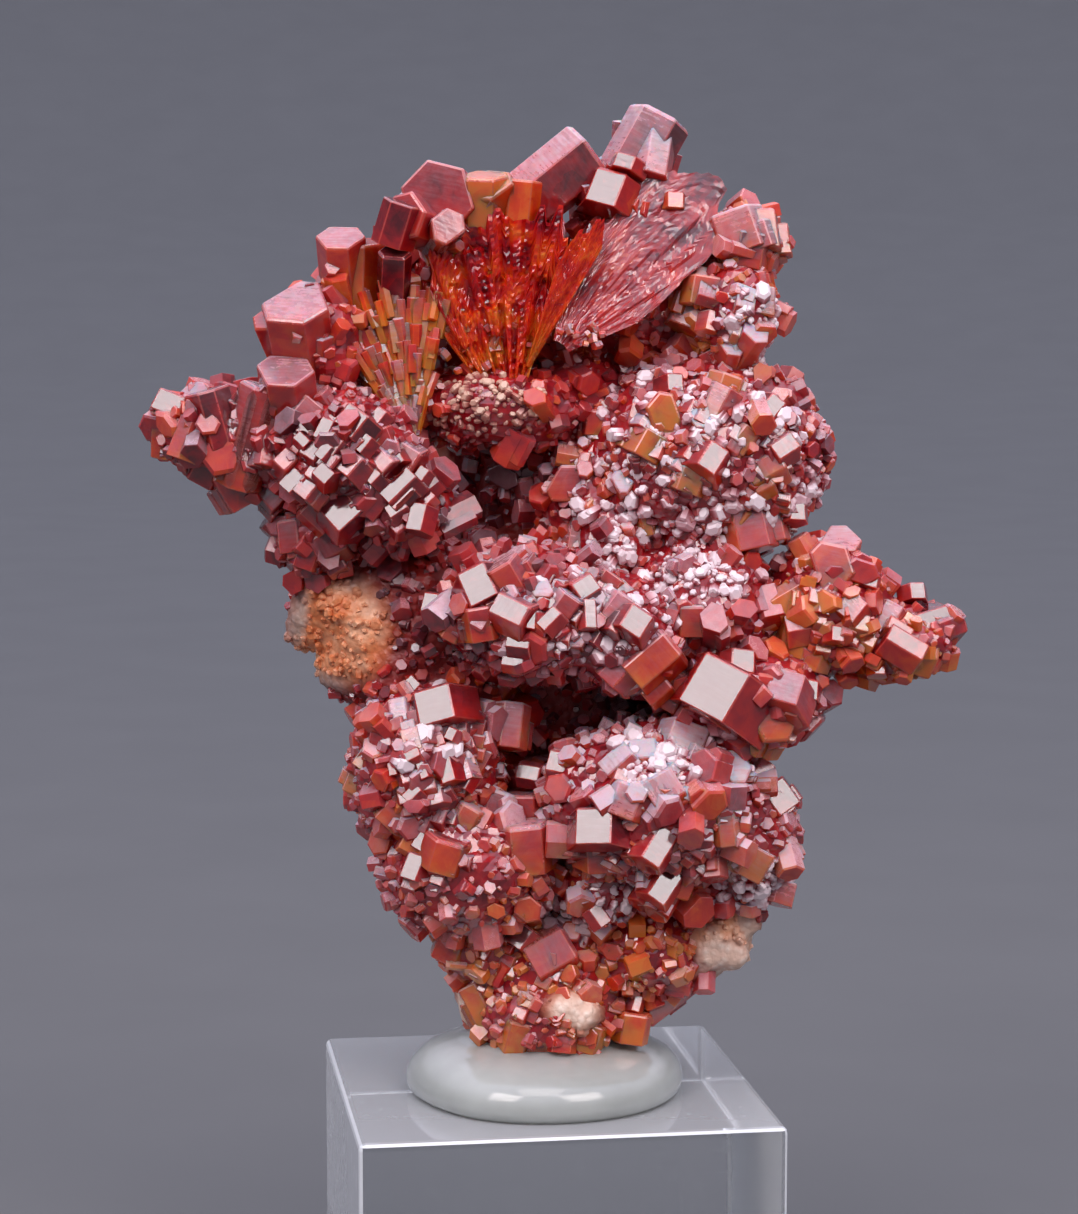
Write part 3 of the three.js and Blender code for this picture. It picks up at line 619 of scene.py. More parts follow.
def point_at_depth(pixel, depth):
    eye, direction = sight_line(pixel)
    return eye + direction * ((depth - eye.y) / direction.y)


def pixel_of(point):
    """The pixel where a point in the specimen's axes, in millimetres, is seen."""
    offset = Vector(point) - Vector(EYE_MM)
    away = offset.y * math.cos(EYE_TILT) - offset.z * math.sin(EYE_TILT)
    rise = offset.y * math.sin(EYE_TILT) + offset.z * math.cos(EYE_TILT)
    return (
        PICTURE_CENTRE[0] + FOCAL_PIXELS * offset.x / away,
        PICTURE_CENTRE[1] - FOCAL_PIXELS * rise / away,
    )


def along_ray(root, reach, angle):
    """The pixel at a distance from a root pixel, at an angle from upright in degrees."""
    turn = math.radians(angle)
    return root[0] + reach * math.sin(turn), root[1] - reach * math.cos(turn)


def facing(yaw, pitch):
    """Outward normal of a face turned right by yaw and up by pitch from the viewer, in degrees."""
    turn, rise = math.radians(yaw), math.radians(pitch)
    return Vector((math.sin(turn) * math.cos(rise), -math.cos(turn) * math.cos(rise), math.sin(rise)))


def within(pixel, zones):
    """How deep a pixel lies in any of the zones, from 0 outside to 1."""
    near = max(1.0 - math.hypot((pixel[0] - a) / x, (pixel[1] - b) / y) for (a, b), (x, y) in zones)
    return max(0.0, min(1.0, 2.5 * near))


# Meshes


def new_object(name, data):
    made = bpy.data.objects.new(name, data)
    bpy.context.scene.collection.objects.link(made)
    return made


def new_mesh(name, shape):
    mesh = bpy.data.meshes.new(name)
    shape.to_mesh(mesh)
    shape.free()
    return mesh


def smooth(mesh):
    for polygon in mesh.polygons:
        polygon.use_smooth = True


def evaluated_mesh(source, name):
    """The object's mesh with its modifiers applied, as a mesh of its own."""
    graph = bpy.context.evaluated_depsgraph_get()
    graph.update()
    mesh = bpy.data.meshes.new_from_object(source.evaluated_get(graph))
    mesh.name = name
    return mesh


def hand_over(piece, node):
    """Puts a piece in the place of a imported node."""
    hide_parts(node)
    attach(piece, BODY)


def turned_skin(name, rings):
    """A smooth skin over rings of points; a ring of a single point closes the middle."""
    shape = bmesh.new()
    loops = [[shape.verts.new(point) for point in ring] for ring in rings]
    for inner, outer in zip(loops, loops[1:]):
        sides = max(len(inner), len(outer))
        for i in range(sides):
            j = (i + 1) % sides
            corners = [
                inner[i % len(inner)], outer[i % len(outer)], outer[j % len(outer)], inner[j % len(inner)],
            ]
            shape.faces.new(list(dict.fromkeys(corners)))
    bmesh.ops.recalc_face_normals(shape, faces=shape.faces)
    mesh = new_mesh(name, shape)
    smooth(mesh)
    return mesh


def lump_skin(name, lumps, voxel, roughen, rounds):
    """One closed skin around a heap of lumps, roughened outwards; more rounds make the lumps rounder."""
    soup = bmesh.new()
    for pixel, depth, radii in lumps:
        centre = point_at_depth(pixel, depth)
        frame_of_lump = Matrix.Translation(centre) @ Matrix.Diagonal((*radii, 1))
        made = bmesh.ops.create_icosphere(soup, subdivisions=rounds, radius=1)
        for vertex in made["verts"]:
            vertex.co = to_row(frame_of_lump @ vertex.co)
    mesh = new_mesh(name, soup)
    lump = new_object(name, mesh)
    remesh = lump.modifiers.new("skin", "REMESH")
    remesh.mode = "VOXEL"
    remesh.voxel_size = voxel
    skin = evaluated_mesh(lump, name)
    bpy.data.objects.remove(lump)
    bpy.data.meshes.remove(mesh)
    normals = [vertex.normal.copy() for vertex in skin.vertices]
    for vertex, normal in zip(skin.vertices, normals):
        vertex.co = vertex.co + normal * roughen(vertex.co / MM)
    return skin


def crust_relief(point):
    return MM * (0.45 * noise.noise(point * 0.45) + 0.2 * noise.noise(point * 1.3))


def rock_relief(point):
    broad = 1.0 * noise.noise(point * 0.22) + 0.4 * noise.noise(point * 0.5)
    knobs = 0.3 * noise.voronoi(point * 1.6)[0][0]
    grain = 0.12 * noise.noise(point * 2.6)
    return MM * (broad + knobs + grain - 0.15)


def float_attribute(mesh, name, domain, values):
    attribute = mesh.attributes.new(name, "FLOAT", domain)
    attribute.data.foreach_set("value", values)


class CrystalHeap:
    """Collects crystals and turns them into one mesh with their tone, frost, rim, facet, surface and UV."""

    def __init__(self, seed, edge, surface):
        self.draw = random.Random(seed)
        self.edge = edge
        self.surface = surface
        self.surfaces = []
        self.points, self.faces = [], []
        self.tone, self.frost, self.rim, self.facet, self.uv = [], [], [], [], []

    def outline(self, wide, stray):
        """Six corners of an uneven hexagon whose faces keep their 60 degree turns."""
        reach = [wide * math.sqrt(3) / 2 * self.draw.uniform(1 - stray, 1 + 0.7 * stray) for _ in range(6)]
        reach[0] = wide * math.sqrt(3) / 2
        corners = []
        for i in range(6):
            a, b = math.radians(60 * i), math.radians(60 * (i + 1))
            turn = math.sin(b - a)
            corners.append(Vector((
                (reach[i] * math.sin(b) - reach[(i + 1) % 6] * math.sin(a)) / turn,
                (reach[(i + 1) % 6] * math.cos(a) - reach[i] * math.cos(b)) / turn,
            )))
        return corners

    def prism(
        self, place, wide, long, tone, frost, bevel=0.08, edge=None,
        core=True, rounded=False, stray=0.18, glare=0.0,
    ):
        """A prism along local +Y with a side face towards +Z, in metres; glare darkens that face."""
        edge = self.edge if edge is None else edge
        shape = bmesh.new()
        ring = self.outline(wide, stray)
        crown = [(0.26, 1.0), (0.0, 0.66)] if rounded else [(bevel, 1.0), (0.0, 1.0 - bevel * 1.3)]
        levels = [(-long / 2, 1.0)] + [(long / 2 - drop * wide, share) for drop, share in crown]
        rows = [[shape.verts.new((c.y * s, y, c.x * s)) for c in ring] for y, s in levels]
        shape.faces.new(rows[0])
        shape.faces.new(list(reversed(rows[-1])))
        for low, high in zip(rows, rows[1:]):
            for i in range(6):
                j = (i + 1) % 6
                shape.faces.new((low[i], high[i], high[j], low[j]))
        bmesh.ops.recalc_face_normals(shape, faces=shape.faces)
        if edge > 0:
            edges = list(shape.edges)
            # Rounded edges; the crystal material gives them a painted highlight
            wear_and_light = bmesh.ops.bevel(shape, geom=edges, offset=edge, segments=1, affect="EDGES", profile=0.5)
            for face in wear_and_light["faces"]:
                face.smooth = True
        rim = shape.verts.layers.float.new("rim")
        # Painted glow: rim is 1 at the edges and 0 in the middle of broad faces, and the crystal material
        # paints the edges more orange
        if core:
            for vertex in shape.verts:
                vertex[rim] = 0.5 if glare else 1.0
            broad = [face for face in shape.faces if face.calc_area() > 0.25 * wide * min(wide, long)]
            if glare:
                broad = [max(shape.faces, key=lambda face: face.normal.z * face.calc_area())]
            inner = (0.01 if glare else 0.26) * min(wide, long)
            bmesh.ops.inset_individual(shape, faces=broad, thickness=inner, use_even_offset=True)
            for face in broad:
                for vertex in face.verts:
                    vertex[rim] = -glare
        else:
            for vertex in shape.verts:
                # Painted light and shade: on small crystals rim rises from foot to tip, and the materials
                # paint the tip lighter
                vertex[rim] = max(0.0, min(1.0, 0.5 + vertex.co.y / long))
        self.keep(shape, place, tone, frost)

    def plate(self, surface, root, nearest, reaches, splits, depth, slope, reliefs, tone, stray, frost):
        """A ragged plate, ridged along its rays and split between some of them."""
        self.surface = surface
        columns, rows = PLATE_GRID
        steps, ridges, grain = reliefs
        shape = bmesh.new()
        rim = shape.verts.layers.float.new("rim")
        sides = ([], [])
        for j in range(columns):
            angle = reaches[0][0] + (reaches[-1][0] - reaches[0][0]) * j / (columns - 1)
            (a, near), (b, far) = next(pair for pair in zip(reaches, reaches[1:]) if angle <= pair[1][0])
            limit = near + (far - near) * (angle - a) / (b - a) + 12 * noise.cell((angle * 0.45, 0, 0))
            lines = ([], [])
            for i in range(rows):
                reach = nearest + (limit - nearest) * i / (rows - 1)
                u, v = along_ray(root, reach, angle)
                relief = steps * noise.cell((angle * 0.3, reach / 30, 3))
                relief += ridges * noise.noise((angle * 0.3, reach / 60, 5))
                relief += grain * noise.noise((u / 5, v / 5, 7)) + self.draw.gauss(0, 0.25 * grain)
                relief -= 0.8 * any(abs(angle - c) < 0.5 and low < reach < high for c, low, high in splits)
                away = depth + slope * (root[1] - v)
                for line, lift in zip(lines, (relief, -PLATE_BACK)):
                    vertex = shape.verts.new(to_row(point_at_depth((u, v), away - lift)))
                    vertex[rim] = max(0.0, min(1.0, 0.5 + relief))
                    line.append(vertex)
            for side, line in zip(sides, lines):
                side.append(line)
        for side in sides:
            for one, two in zip(side, side[1:]):
                for i in range(rows - 1):
                    shape.faces.new((one[i], one[i + 1], two[i + 1], two[i]))
        front, back = (
            [
                *side[0], *(line[-1] for line in side[1:-1]),
                *reversed(side[-1]), *(line[0] for line in side[-2:0:-1]),
            ]
            for side in sides
        )
        for i in range(len(front)):
            shape.faces.new((front[i - 1], front[i], back[i], back[i - 1]))
        bmesh.ops.recalc_face_normals(shape, faces=shape.faces)
        start = len(self.points)
        self.keep(shape, Matrix.Identity(4), tone, frost)
        for i in range(start, len(self.points)):
            self.tone[i] += stray * noise.noise(self.points[i] / MM * 0.5)
            # Painted light and shade: raised ridges get more lilac veil and grooves and splits less, so
            # grooves read darker and redder
            self.frost[i] *= 0.4 + 0.9 * self.rim[i]

    @staticmethod
    def spot(face):
        """Orders faces by where they are, so that every run shades the same face alike."""
        return tuple(round(c / MM, 3) for c in face.calc_center_median())

    def keep(self, shape, place, tone, frost):
        """Adds a shape to the heap with painted glow and sheen: its foot is painted warmer than its head and
        less frosted.
        """
        rim = shape.verts.layers.float["rim"]
        start = len(self.points)
        shape.verts.index_update()
        placed = [place @ vertex.co for vertex in shape.verts]
        top = max(point.z for point in placed)
        tall = top - min(point.z for point in placed)
        for vertex, point in zip(shape.verts, placed):
            low = (top - point.z) / tall
            self.points.append(point)
            # Painted glow and sheen: the lower a point lies in its crystal, the more orange its tone; the
            # higher, the more lilac veil
            self.tone.append(tone + PAINTED_FOOT_GLOW * low + HEAD_TONE + min(0.0, vertex[rim]))
            self.frost.append(frost * (1.5 - low))
            self.rim.append(max(0.0, vertex[rim]))
        shades = {}
        for face in sorted(shape.faces, key=self.spot):
            self.faces.append([start + vertex.index for vertex in face.verts])
            self.surfaces.append(self.surface)
            normal = face.normal
            key = tuple(round(c, 1) for c in normal)
            self.facet.append(EDGE_FACET if face.smooth else shades.setdefault(key, self.draw.random()))
            across = Vector((0, 1, 0)).cross(normal)
            for loop in face.loops:
                co = loop.vert.co / MM
                self.uv.extend((co.x, co.z) if abs(normal.y) > 0.9 else (co.dot(across), co.y))
        shape.free()

    def mesh(self, name):
        made = bpy.data.meshes.new(name)
        made.from_pydata(self.points, [], self.faces)
        made.uv_layers.new(name="UVMap").data.foreach_set("uv", self.uv)
        float_attribute(made, "tone", "POINT", self.tone)
        float_attribute(made, "frost", "POINT", self.frost)
        float_attribute(made, "rim", "POINT", self.rim)
        float_attribute(made, "facet", "FACE", self.facet)
        float_attribute(made, "surface", "FACE", self.surfaces)
        return made


def seat(tree, pixel):
    """Where a line of sight first meets a crust, or the point on it nearest to that crust, in row metres."""
    eye, direction = sight_line(pixel)
    start, ahead = to_row(eye), to_row(direction).normalized()
    hit = tree.ray_cast(start, ahead)[0]
    if hit:
        return hit
    along = start + ahead * 0.2
    for _ in range(12):
        near = tree.find_nearest(along)[0]
        along = start + ahead * (near - start).dot(ahead)
    return along


def face_frame(turned, roll, end, wide, long, shown):
    """Place of a prism whose side or end face is seen at shown, in row metres."""
    spin = Matrix.Rotation(SPECIMEN_TURN, 3, "Z")
    normal = spin @ facing(*turned)
    upright = Vector((0, 0, 1))
    upright = (upright - normal * upright.dot(normal)).normalized()
    upright.rotate(Quaternion(normal, math.radians(-roll)))
    axis, side = (normal, upright) if end else (upright, normal)
    across = axis.cross(side)
    depth = long / 2 if end else wide * math.sqrt(3) / 2
    turn = Matrix((across, axis, side)).transposed().to_4x4()
    return Matrix.Translation(shown - normal * depth) @ turn


def terrace_rows(draw, middle, half, filled, sizes, turned, roll, tone, frost):
    """A field of small crystals on an uneven grid."""
    step = 0.55 * sum(sizes)
    reach = int(max(half) / step) + 1
    turn = math.radians(roll)
    rows = []
    for i, j in itertools.product(range(-reach, reach + 1), repeat=2):
        a, b = step * (i + draw.uniform(-0.25, 0.25)), step * (j + draw.uniform(-0.25, 0.25))
        across, down = a * math.cos(turn) - b * math.sin(turn), a * math.sin(turn) + b * math.cos(turn)
        if math.hypot(across / half[0], down / half[1]) > 1 or draw.random() > filled:
            continue
        wide = draw.uniform(*sizes)
        rows.append((
            "side", (middle[0] + across, middle[1] + down),
            tuple(angle + draw.gauss(0, 4) for angle in turned),
            roll + draw.choice((0, 90)) + draw.gauss(0, 5), wide, wide * draw.uniform(0.9, 1.6),
            tone * draw.uniform(0.7, 1.3) - 0.15, frost * draw.uniform(0, 2),
        ))
    return rows


def lath_rows(draw, root, angles, rays, reaches, wides, longs, turned, stray, tones, frosts, depths):
    """Laths stacked along the rays of a fan."""
    (first, last), (near, far), (yaw, pitch), (front, back) = angles, reaches, turned, depths
    rows = []
    for i in range(rays):
        angle = first + (last - first) * (i + draw.uniform(0.2, 0.8)) / rays
        reach = near + draw.uniform(-0.15, 0.25) * (far - near)
        while reach < far:
            long = draw.uniform(*longs)
            share = (reach - near) / (far - near)
            lean = angle + draw.gauss(0, 2)
            depth = front + (back - front) * share + draw.gauss(0, 0.025 * stray)
            rows.append((
                "side", along_ray(root, reach, lean),
                (yaw + draw.gauss(0, stray), pitch + draw.gauss(0, stray * 0.7)), lean,
                draw.uniform(*wides), long * 1.25, draw.uniform(*tones), draw.uniform(*frosts), depth, True,
            ))
            reach += long
    return rows


def flake_rows(draw, middle, half, number, sizes, stray, tones, frosts, depths):
    """Broken flakes strewn over an oval."""
    rows = []
    for _ in range(number):
        away, turn = math.sqrt(draw.random()), draw.uniform(0, 2 * math.pi)
        wide = draw.uniform(*sizes)
        rows.append((
            "side",
            (middle[0] + half[0] * away * math.cos(turn), middle[1] + half[1] * away * math.sin(turn)),
            (draw.gauss(0, stray), draw.gauss(-4, stray)), draw.uniform(0, 180),
            wide, wide * draw.uniform(0.7, 2.2), draw.uniform(*tones), draw.uniform(*frosts),
            draw.uniform(*depths), True,
        ))
    return rows


def large_crystals(group, tree, settings):
    """The large crystals of one group: placed ones, fields of parallel ones, plates, laths and flakes."""
    heap = CrystalHeap(settings.seed + sorted(CRUSTS).index(group), settings.edge_width, GROWN)
    draw = heap.draw
    rows = list(LARGE.get(group, []))
    for terrace in TERRACES.get(group, []):
        rows += terrace_rows(draw, *terrace)
    if group == "fan_sheaf":
        for plate in PLATES:
            heap.plate(*plate)
        for fan in FANS:
            rows += lath_rows(draw, *fan)
        for jumble in JUMBLES:
            rows += flake_rows(draw, *jumble)
    veil = DRUSE[group][6]
    for row in rows:
        kind, pixel, turned, roll, wide, long, tone, frost = row[:8]
        at_depth, lath, end = len(row) > 8, len(row) > 9, kind == "end"
        bright = turned in (LEFT, RIGHT)
        tone -= FLASH_DARKER if bright else 0.0
        # Every crystal gets at least a share of its group's lilac veil: partly frosting, partly a painted
        # sheen
        frost = max(frost, (0.15 if bright else draw.uniform(0.3, 1.1)) * veil)
        wide, long = wide * PIXEL_MM * MM, long * PIXEL_MM * MM
        if at_depth:
            shown = to_row(point_at_depth(pixel, row[8]))
        else:
            towards_eye = to_row(-sight_line(pixel)[1]).normalized()
            shown = seat(tree, pixel) + towards_eye * (0.35 * wide + (0.5 * MM if bright else 0.0))
        place = face_frame(turned, roll, end, wide, long, shown)
        heap.surface = CLEAR if lath and frost < 0.2 else GROWN
        small = lath or wide < SMALL_FACE
        edge = heap.edge if not small else 0.0 if lath else 0.55 * heap.edge
        heap.prism(
            place, wide, long, tone, frost, draw.uniform(0.03, 0.12), edge, stray=0.34 if end else 0.18,
            glare=FLASH_GLARE if bright else 0.0,
        )
        if small:
            continue
        for _ in range(0 if at_depth else 2):
            aside = draw.uniform(0, 2 * math.pi)
            shift = Vector((
                math.cos(aside) * wide * 0.8, -long * draw.uniform(0.1, 0.3),
                math.sin(aside) * wide * 0.5 - wide * 0.3,
            ))
            heap.prism(
                place @ Matrix.Translation(shift), wide * draw.uniform(0.4, 0.7),
                long * draw.uniform(0.5, 0.8), tone * draw.uniform(0.8, 1.2), frost, draw.uniform(0.03, 0.1),
            )
        for _ in range(5):
            aside = draw.uniform(0, 2 * math.pi)
            shift = Vector((
                math.cos(aside) * wide, long * draw.uniform(-0.5, 0.3), -0.8 * abs(math.sin(aside)) * wide,
            )) * 0.9
            leans = [Matrix.Rotation(draw.uniform(-0.6, 0.6), 4, axis) for axis in "XZ"]
            share = wide * draw.uniform(0.14, 0.34)
            heap.prism(
                place @ Matrix.Translation(shift) @ leans[0] @ leans[1],
                share, share * draw.uniform(1.5, 3.0),
                tone * draw.uniform(0.8, 1.3), frost + draw.uniform(0, 0.2), 0.06, 0.0,
            )
    return heap.mesh(group + "_large")


def habits(name, seed, rounded):
    """A collection of small crystal shapes to plant: sharp prisms, or frosted barrels."""
    draw = random.Random(seed)
    kept = bpy.data.collections.new(name)
    for i in range(HABITS):
        heap = CrystalHeap(seed + i, 0.0, FROSTED if rounded else DRUSY)
        bevel = draw.uniform(0.02, 0.2)
        long = draw.uniform(1.3, 1.9) if rounded else draw.uniform(0.9, 2.6)
        stand = Matrix.Rotation(math.radians(90), 4, "X") @ Matrix.Translation((0, 0.06 * long, 0))
        heap.prism(stand, 1.0, long, 0.0, 0.0, bevel, core=False, rounded=rounded)
        for k in range(1 + i % 2 if rounded else i % 2):
            aside = stand @ Matrix.Rotation(2.3 * k + i, 4, "Y") @ Matrix.Translation((0.75, -0.25, 0.2))
            wide = draw.uniform(0.5, 0.7)
            heap.prism(aside, wide, long * 0.8, 0.0, 0.0, bevel, core=False, rounded=rounded)
        mesh = heap.mesh(f"{name}_{i}")
        for attribute in ("tone", "frost"):
            mesh.attributes.remove(mesh.attributes[attribute])
        kept.objects.link(bpy.data.objects.new(f"{name}_{i}", mesh))
    return kept


def discard_habits(kept):
    for shape in list(kept.objects):
        mesh = shape.data
        bpy.data.objects.remove(shape)
        bpy.data.meshes.remove(mesh)
    bpy.data.collections.remove(kept)


# Node trees


def feed(tree, node, inputs):
    """Gives a node's inputs, by name or number, values, outputs, or the first outputs of other nodes."""
    for key, value in inputs.items():
        named = [socket for socket in node.inputs if socket.enabled and socket.name == key]
        socket = named[0] if named else node.inputs[key]
        if isinstance(value, bpy.types.Node):
            value = next(output for output in value.outputs if output.enabled)
        if isinstance(value, bpy.types.NodeSocket):
            tree.links.new(value, socket)
        else:
            socket.default_value = value


def add_node(tree, kind, settings=None, inputs=None, stops=()):
    """Adds a node with its settings and inputs; stops are the places and colours of a colour ramp."""
    node = tree.nodes.new(kind)
    for key, value in (settings or {}).items():
        setattr(node, key, value)
    feed(tree, node, inputs or {})
    for _ in stops[2:]:
        node.color_ramp.elements.new(0.5)
    for i, (place, shade) in enumerate(stops):
        node.color_ramp.elements[i].position = place
        node.color_ramp.elements[i].color = shade
    return node


def new_tree(name, inputs):
    tree = bpy.data.node_groups.new(name, "GeometryNodeTree")
    tree.interface.new_socket("Geometry", in_out="OUTPUT", socket_type="NodeSocketGeometry")
    for label, kind in inputs:
        tree.interface.new_socket(label, in_out="INPUT", socket_type="NodeSocket" + kind)
    return tree, tree.nodes.new("NodeGroupInput").outputs


def planting_tree():
    """One crop of small crystals on a bed, each with its own habit, lean, size, tone and frost."""
    tree, given = new_tree("planting", [
        ("Bed", "Geometry"), ("Habits", "Collection"), ("Cover", "Float"), ("Lean", "Float"), ("Seed", "Int"),
        *((part.capitalize(), "Float") for part in CROP_PARTS),
    ])
    points = add_node(tree, "GeometryNodeDistributePointsOnFaces", {"distribute_method": "POISSON"}, {
        "Mesh": given["Bed"], "Distance Min": given["Spacing"], "Density Factor": given["Cover"],
        "Seed": given["Seed"], "Density Max": CROWDED,
    })
    chances = [
        add_node(
            tree, "FunctionNodeRandomValue", {"data_type": kind}, {"Min": low, "Max": high, "Seed": seed},
        )
        for seed, (kind, low, high) in enumerate((
            ("FLOAT_VECTOR", (-1, -1, -1), (1, 1, 1)),
            ("FLOAT_VECTOR", (0, 0, 0), (0, 0, 6.283)),
            ("FLOAT", 0.0, 1.0),
            ("FLOAT_VECTOR", (0.85, 0.7, 0.7), (1.15, 1.1, 1.2)),
            ("FLOAT", given["Tone low"], given["Tone high"]),
            ("FLOAT", given["Frost low"], given["Frost high"]),
            ("INT", 0, HABITS - 1),
        ), 1)
    ]
    leaning, spinning, grading, stretching, toning, frosting, picking = chances
    tilt = add_node(
        tree, "ShaderNodeVectorMath", {"operation": "SCALE"}, {0: leaning, "Scale": given["Lean"]},
    )
    aim = add_node(tree, "ShaderNodeVectorMath", {"operation": "ADD"}, {0: points.outputs["Normal"], 1: tilt})
    stand = add_node(tree, "FunctionNodeAlignRotationToVector", {"axis": "Z"}, {"Vector": aim})
    turned = add_node(
        tree, "FunctionNodeRotateRotation", {"rotation_space": "LOCAL"},
        {"Rotation": stand, "Rotate By": spinning},
    )
    rare = add_node(tree, "ShaderNodeMath", {"operation": "POWER"}, {0: grading, 1: 2.0})
    grade = add_node(tree, "ShaderNodeMath", {"operation": "MULTIPLY_ADD"}, {0: rare, 1: 1.0, 2: 0.5})
    size = add_node(tree, "ShaderNodeMath", {"operation": "MULTIPLY"}, {0: grade, 1: given["Size"]})
    scale = add_node(tree, "ShaderNodeVectorMath", {"operation": "SCALE"}, {0: stretching, "Scale": size})
    warm = add_node(tree, "GeometryNodeInputNamedAttribute", {"data_type": "FLOAT"}, {"Name": "warm"})
    toned = add_node(tree, "ShaderNodeMath", {"operation": "ADD"}, {0: toning, 1: warm})
    marked = points
    for name, value in (("tone", toned), ("frost", frosting)):
        marked = add_node(
            tree, "GeometryNodeStoreNamedAttribute", {"data_type": "FLOAT", "domain": "POINT"},
            {"Geometry": marked, "Value": value, "Name": name},
        )
    shapes = add_node(tree, "GeometryNodeCollectionInfo", None, {
        "Collection": given["Habits"], "Separate Children": True, "Reset Children": True,
    })
    planted = add_node(tree, "GeometryNodeInstanceOnPoints", None, {
        "Points": marked, "Instance": shapes, "Rotation": turned, "Scale": scale,
        "Pick Instance": True, "Instance Index": picking,
    })
    add_node(tree, "NodeGroupOutput", None, {0: planted})
    return tree


def druse_tree():
    """Large crystals, four crops of small ones and the crust between them, as one geometry."""
    crops = [
        ("Middle", "Sharp", "middle"), ("Fine", "Sharp", "fine"),
        ("Frosted", "Frosted", "rime"), ("Grain", "Frosted", "grainy"),
    ]
    inputs = [
        ("Bed", "Geometry"), ("Large crystals", "Object"),
        ("Sharp habits", "Collection"), ("Frosted habits", "Collection"),
    ]
    for crop, *_ in crops:
        inputs += [(f"{crop} {part}", "Float") for part in CROP_PARTS]
    inputs += [("Lean", "Float"), ("Seed", "Int"), ("Keep bed", "Bool")]
    inputs += [(f"{surface} material", "Material") for surface in SURFACES]
    tree, given = new_tree("druse", inputs)
    planting = planting_tree()
    joined = tree.nodes.new("GeometryNodeJoinGeometry")
    for order, (crop, habit, cover) in enumerate(crops):
        here = add_node(tree, "GeometryNodeInputNamedAttribute", {"data_type": "FLOAT"}, {"Name": cover})
        seed = add_node(tree, "ShaderNodeMath", {"operation": "ADD"}, {0: given["Seed"], 1: order})
        grown = add_node(tree, "GeometryNodeGroup", {"node_tree": planting}, {
            "Bed": given["Bed"], "Habits": given[habit + " habits"], "Cover": here, "Lean": given["Lean"],
            "Seed": seed, **{part.capitalize(): given[f"{crop} {part}"] for part in CROP_PARTS},
        })
        feed(tree, joined, {0: grown})
    large = add_node(tree, "GeometryNodeObjectInfo", None, {"Object": given["Large crystals"]})
    feed(tree, joined, {0: large.outputs["Geometry"]})
    bed = add_node(
        tree, "GeometryNodeSwitch", {"input_type": "GEOMETRY"}, {0: given["Keep bed"], "True": given["Bed"]},
    )
    feed(tree, joined, {0: bed})
    real = add_node(tree, "GeometryNodeRealizeInstances", None, {"Geometry": joined})
    kind = add_node(tree, "GeometryNodeInputNamedAttribute", {"data_type": "FLOAT"}, {"Name": "surface"})
    # The faces' upward lean, which the crystal materials use for painted light from above
    rise = add_node(tree, "ShaderNodeSeparateXYZ", None, {0: tree.nodes.new("GeometryNodeInputNormal")})
    finished = add_node(
        tree, "GeometryNodeStoreNamedAttribute", {"data_type": "FLOAT", "domain": "FACE"},
        {"Geometry": real, "Value": rise.outputs["Z"], "Name": "up"},
    )
    for order, surface in enumerate(SURFACES):
        chosen = add_node(
            tree, "FunctionNodeCompare", {"data_type": "FLOAT", "operation": "GREATER_THAN"},
            {"A": kind, "B": order - 0.5},
        )
        finished = add_node(tree, "GeometryNodeSetMaterial", None, {
            "Geometry": finished, "Selection": chosen, "Material": given[f"{surface} material"],
        })
    add_node(tree, "NodeGroupOutput", None, {0: finished})
    return tree


def planted_mesh(name, skin, tree, values):
    """Runs the druse tree on a crust skin and returns the plain mesh."""
    bed = new_object(name + "_bed", skin)
    grown = bed.modifiers.new("druse", "NODES")
    grown.node_group = tree
    for item in tree.interface.items_tree:
        if item.item_type == "SOCKET" and item.in_out == "INPUT" and item.name in values:
            grown[item.identifier] = values[item.name]
    mesh = evaluated_mesh(bed, name)
    bed.modifiers.remove(grown)
    bpy.data.objects.remove(bed)
    return mesh


# Materials


def grains(size):
    """The scale of a pattern whose grains are this many millimetres across."""
    return 1 / (size * MM)


def blank_material(name):
    made = bpy.data.materials.new(name)
    made.use_nodes = True
    tree = made.node_tree
    tree.nodes.clear()
    shader = tree.nodes.new("ShaderNodeBsdfPrincipled")
    add_node(tree, "ShaderNodeOutputMaterial", None, {"Surface": shader})
    return made, tree, shader


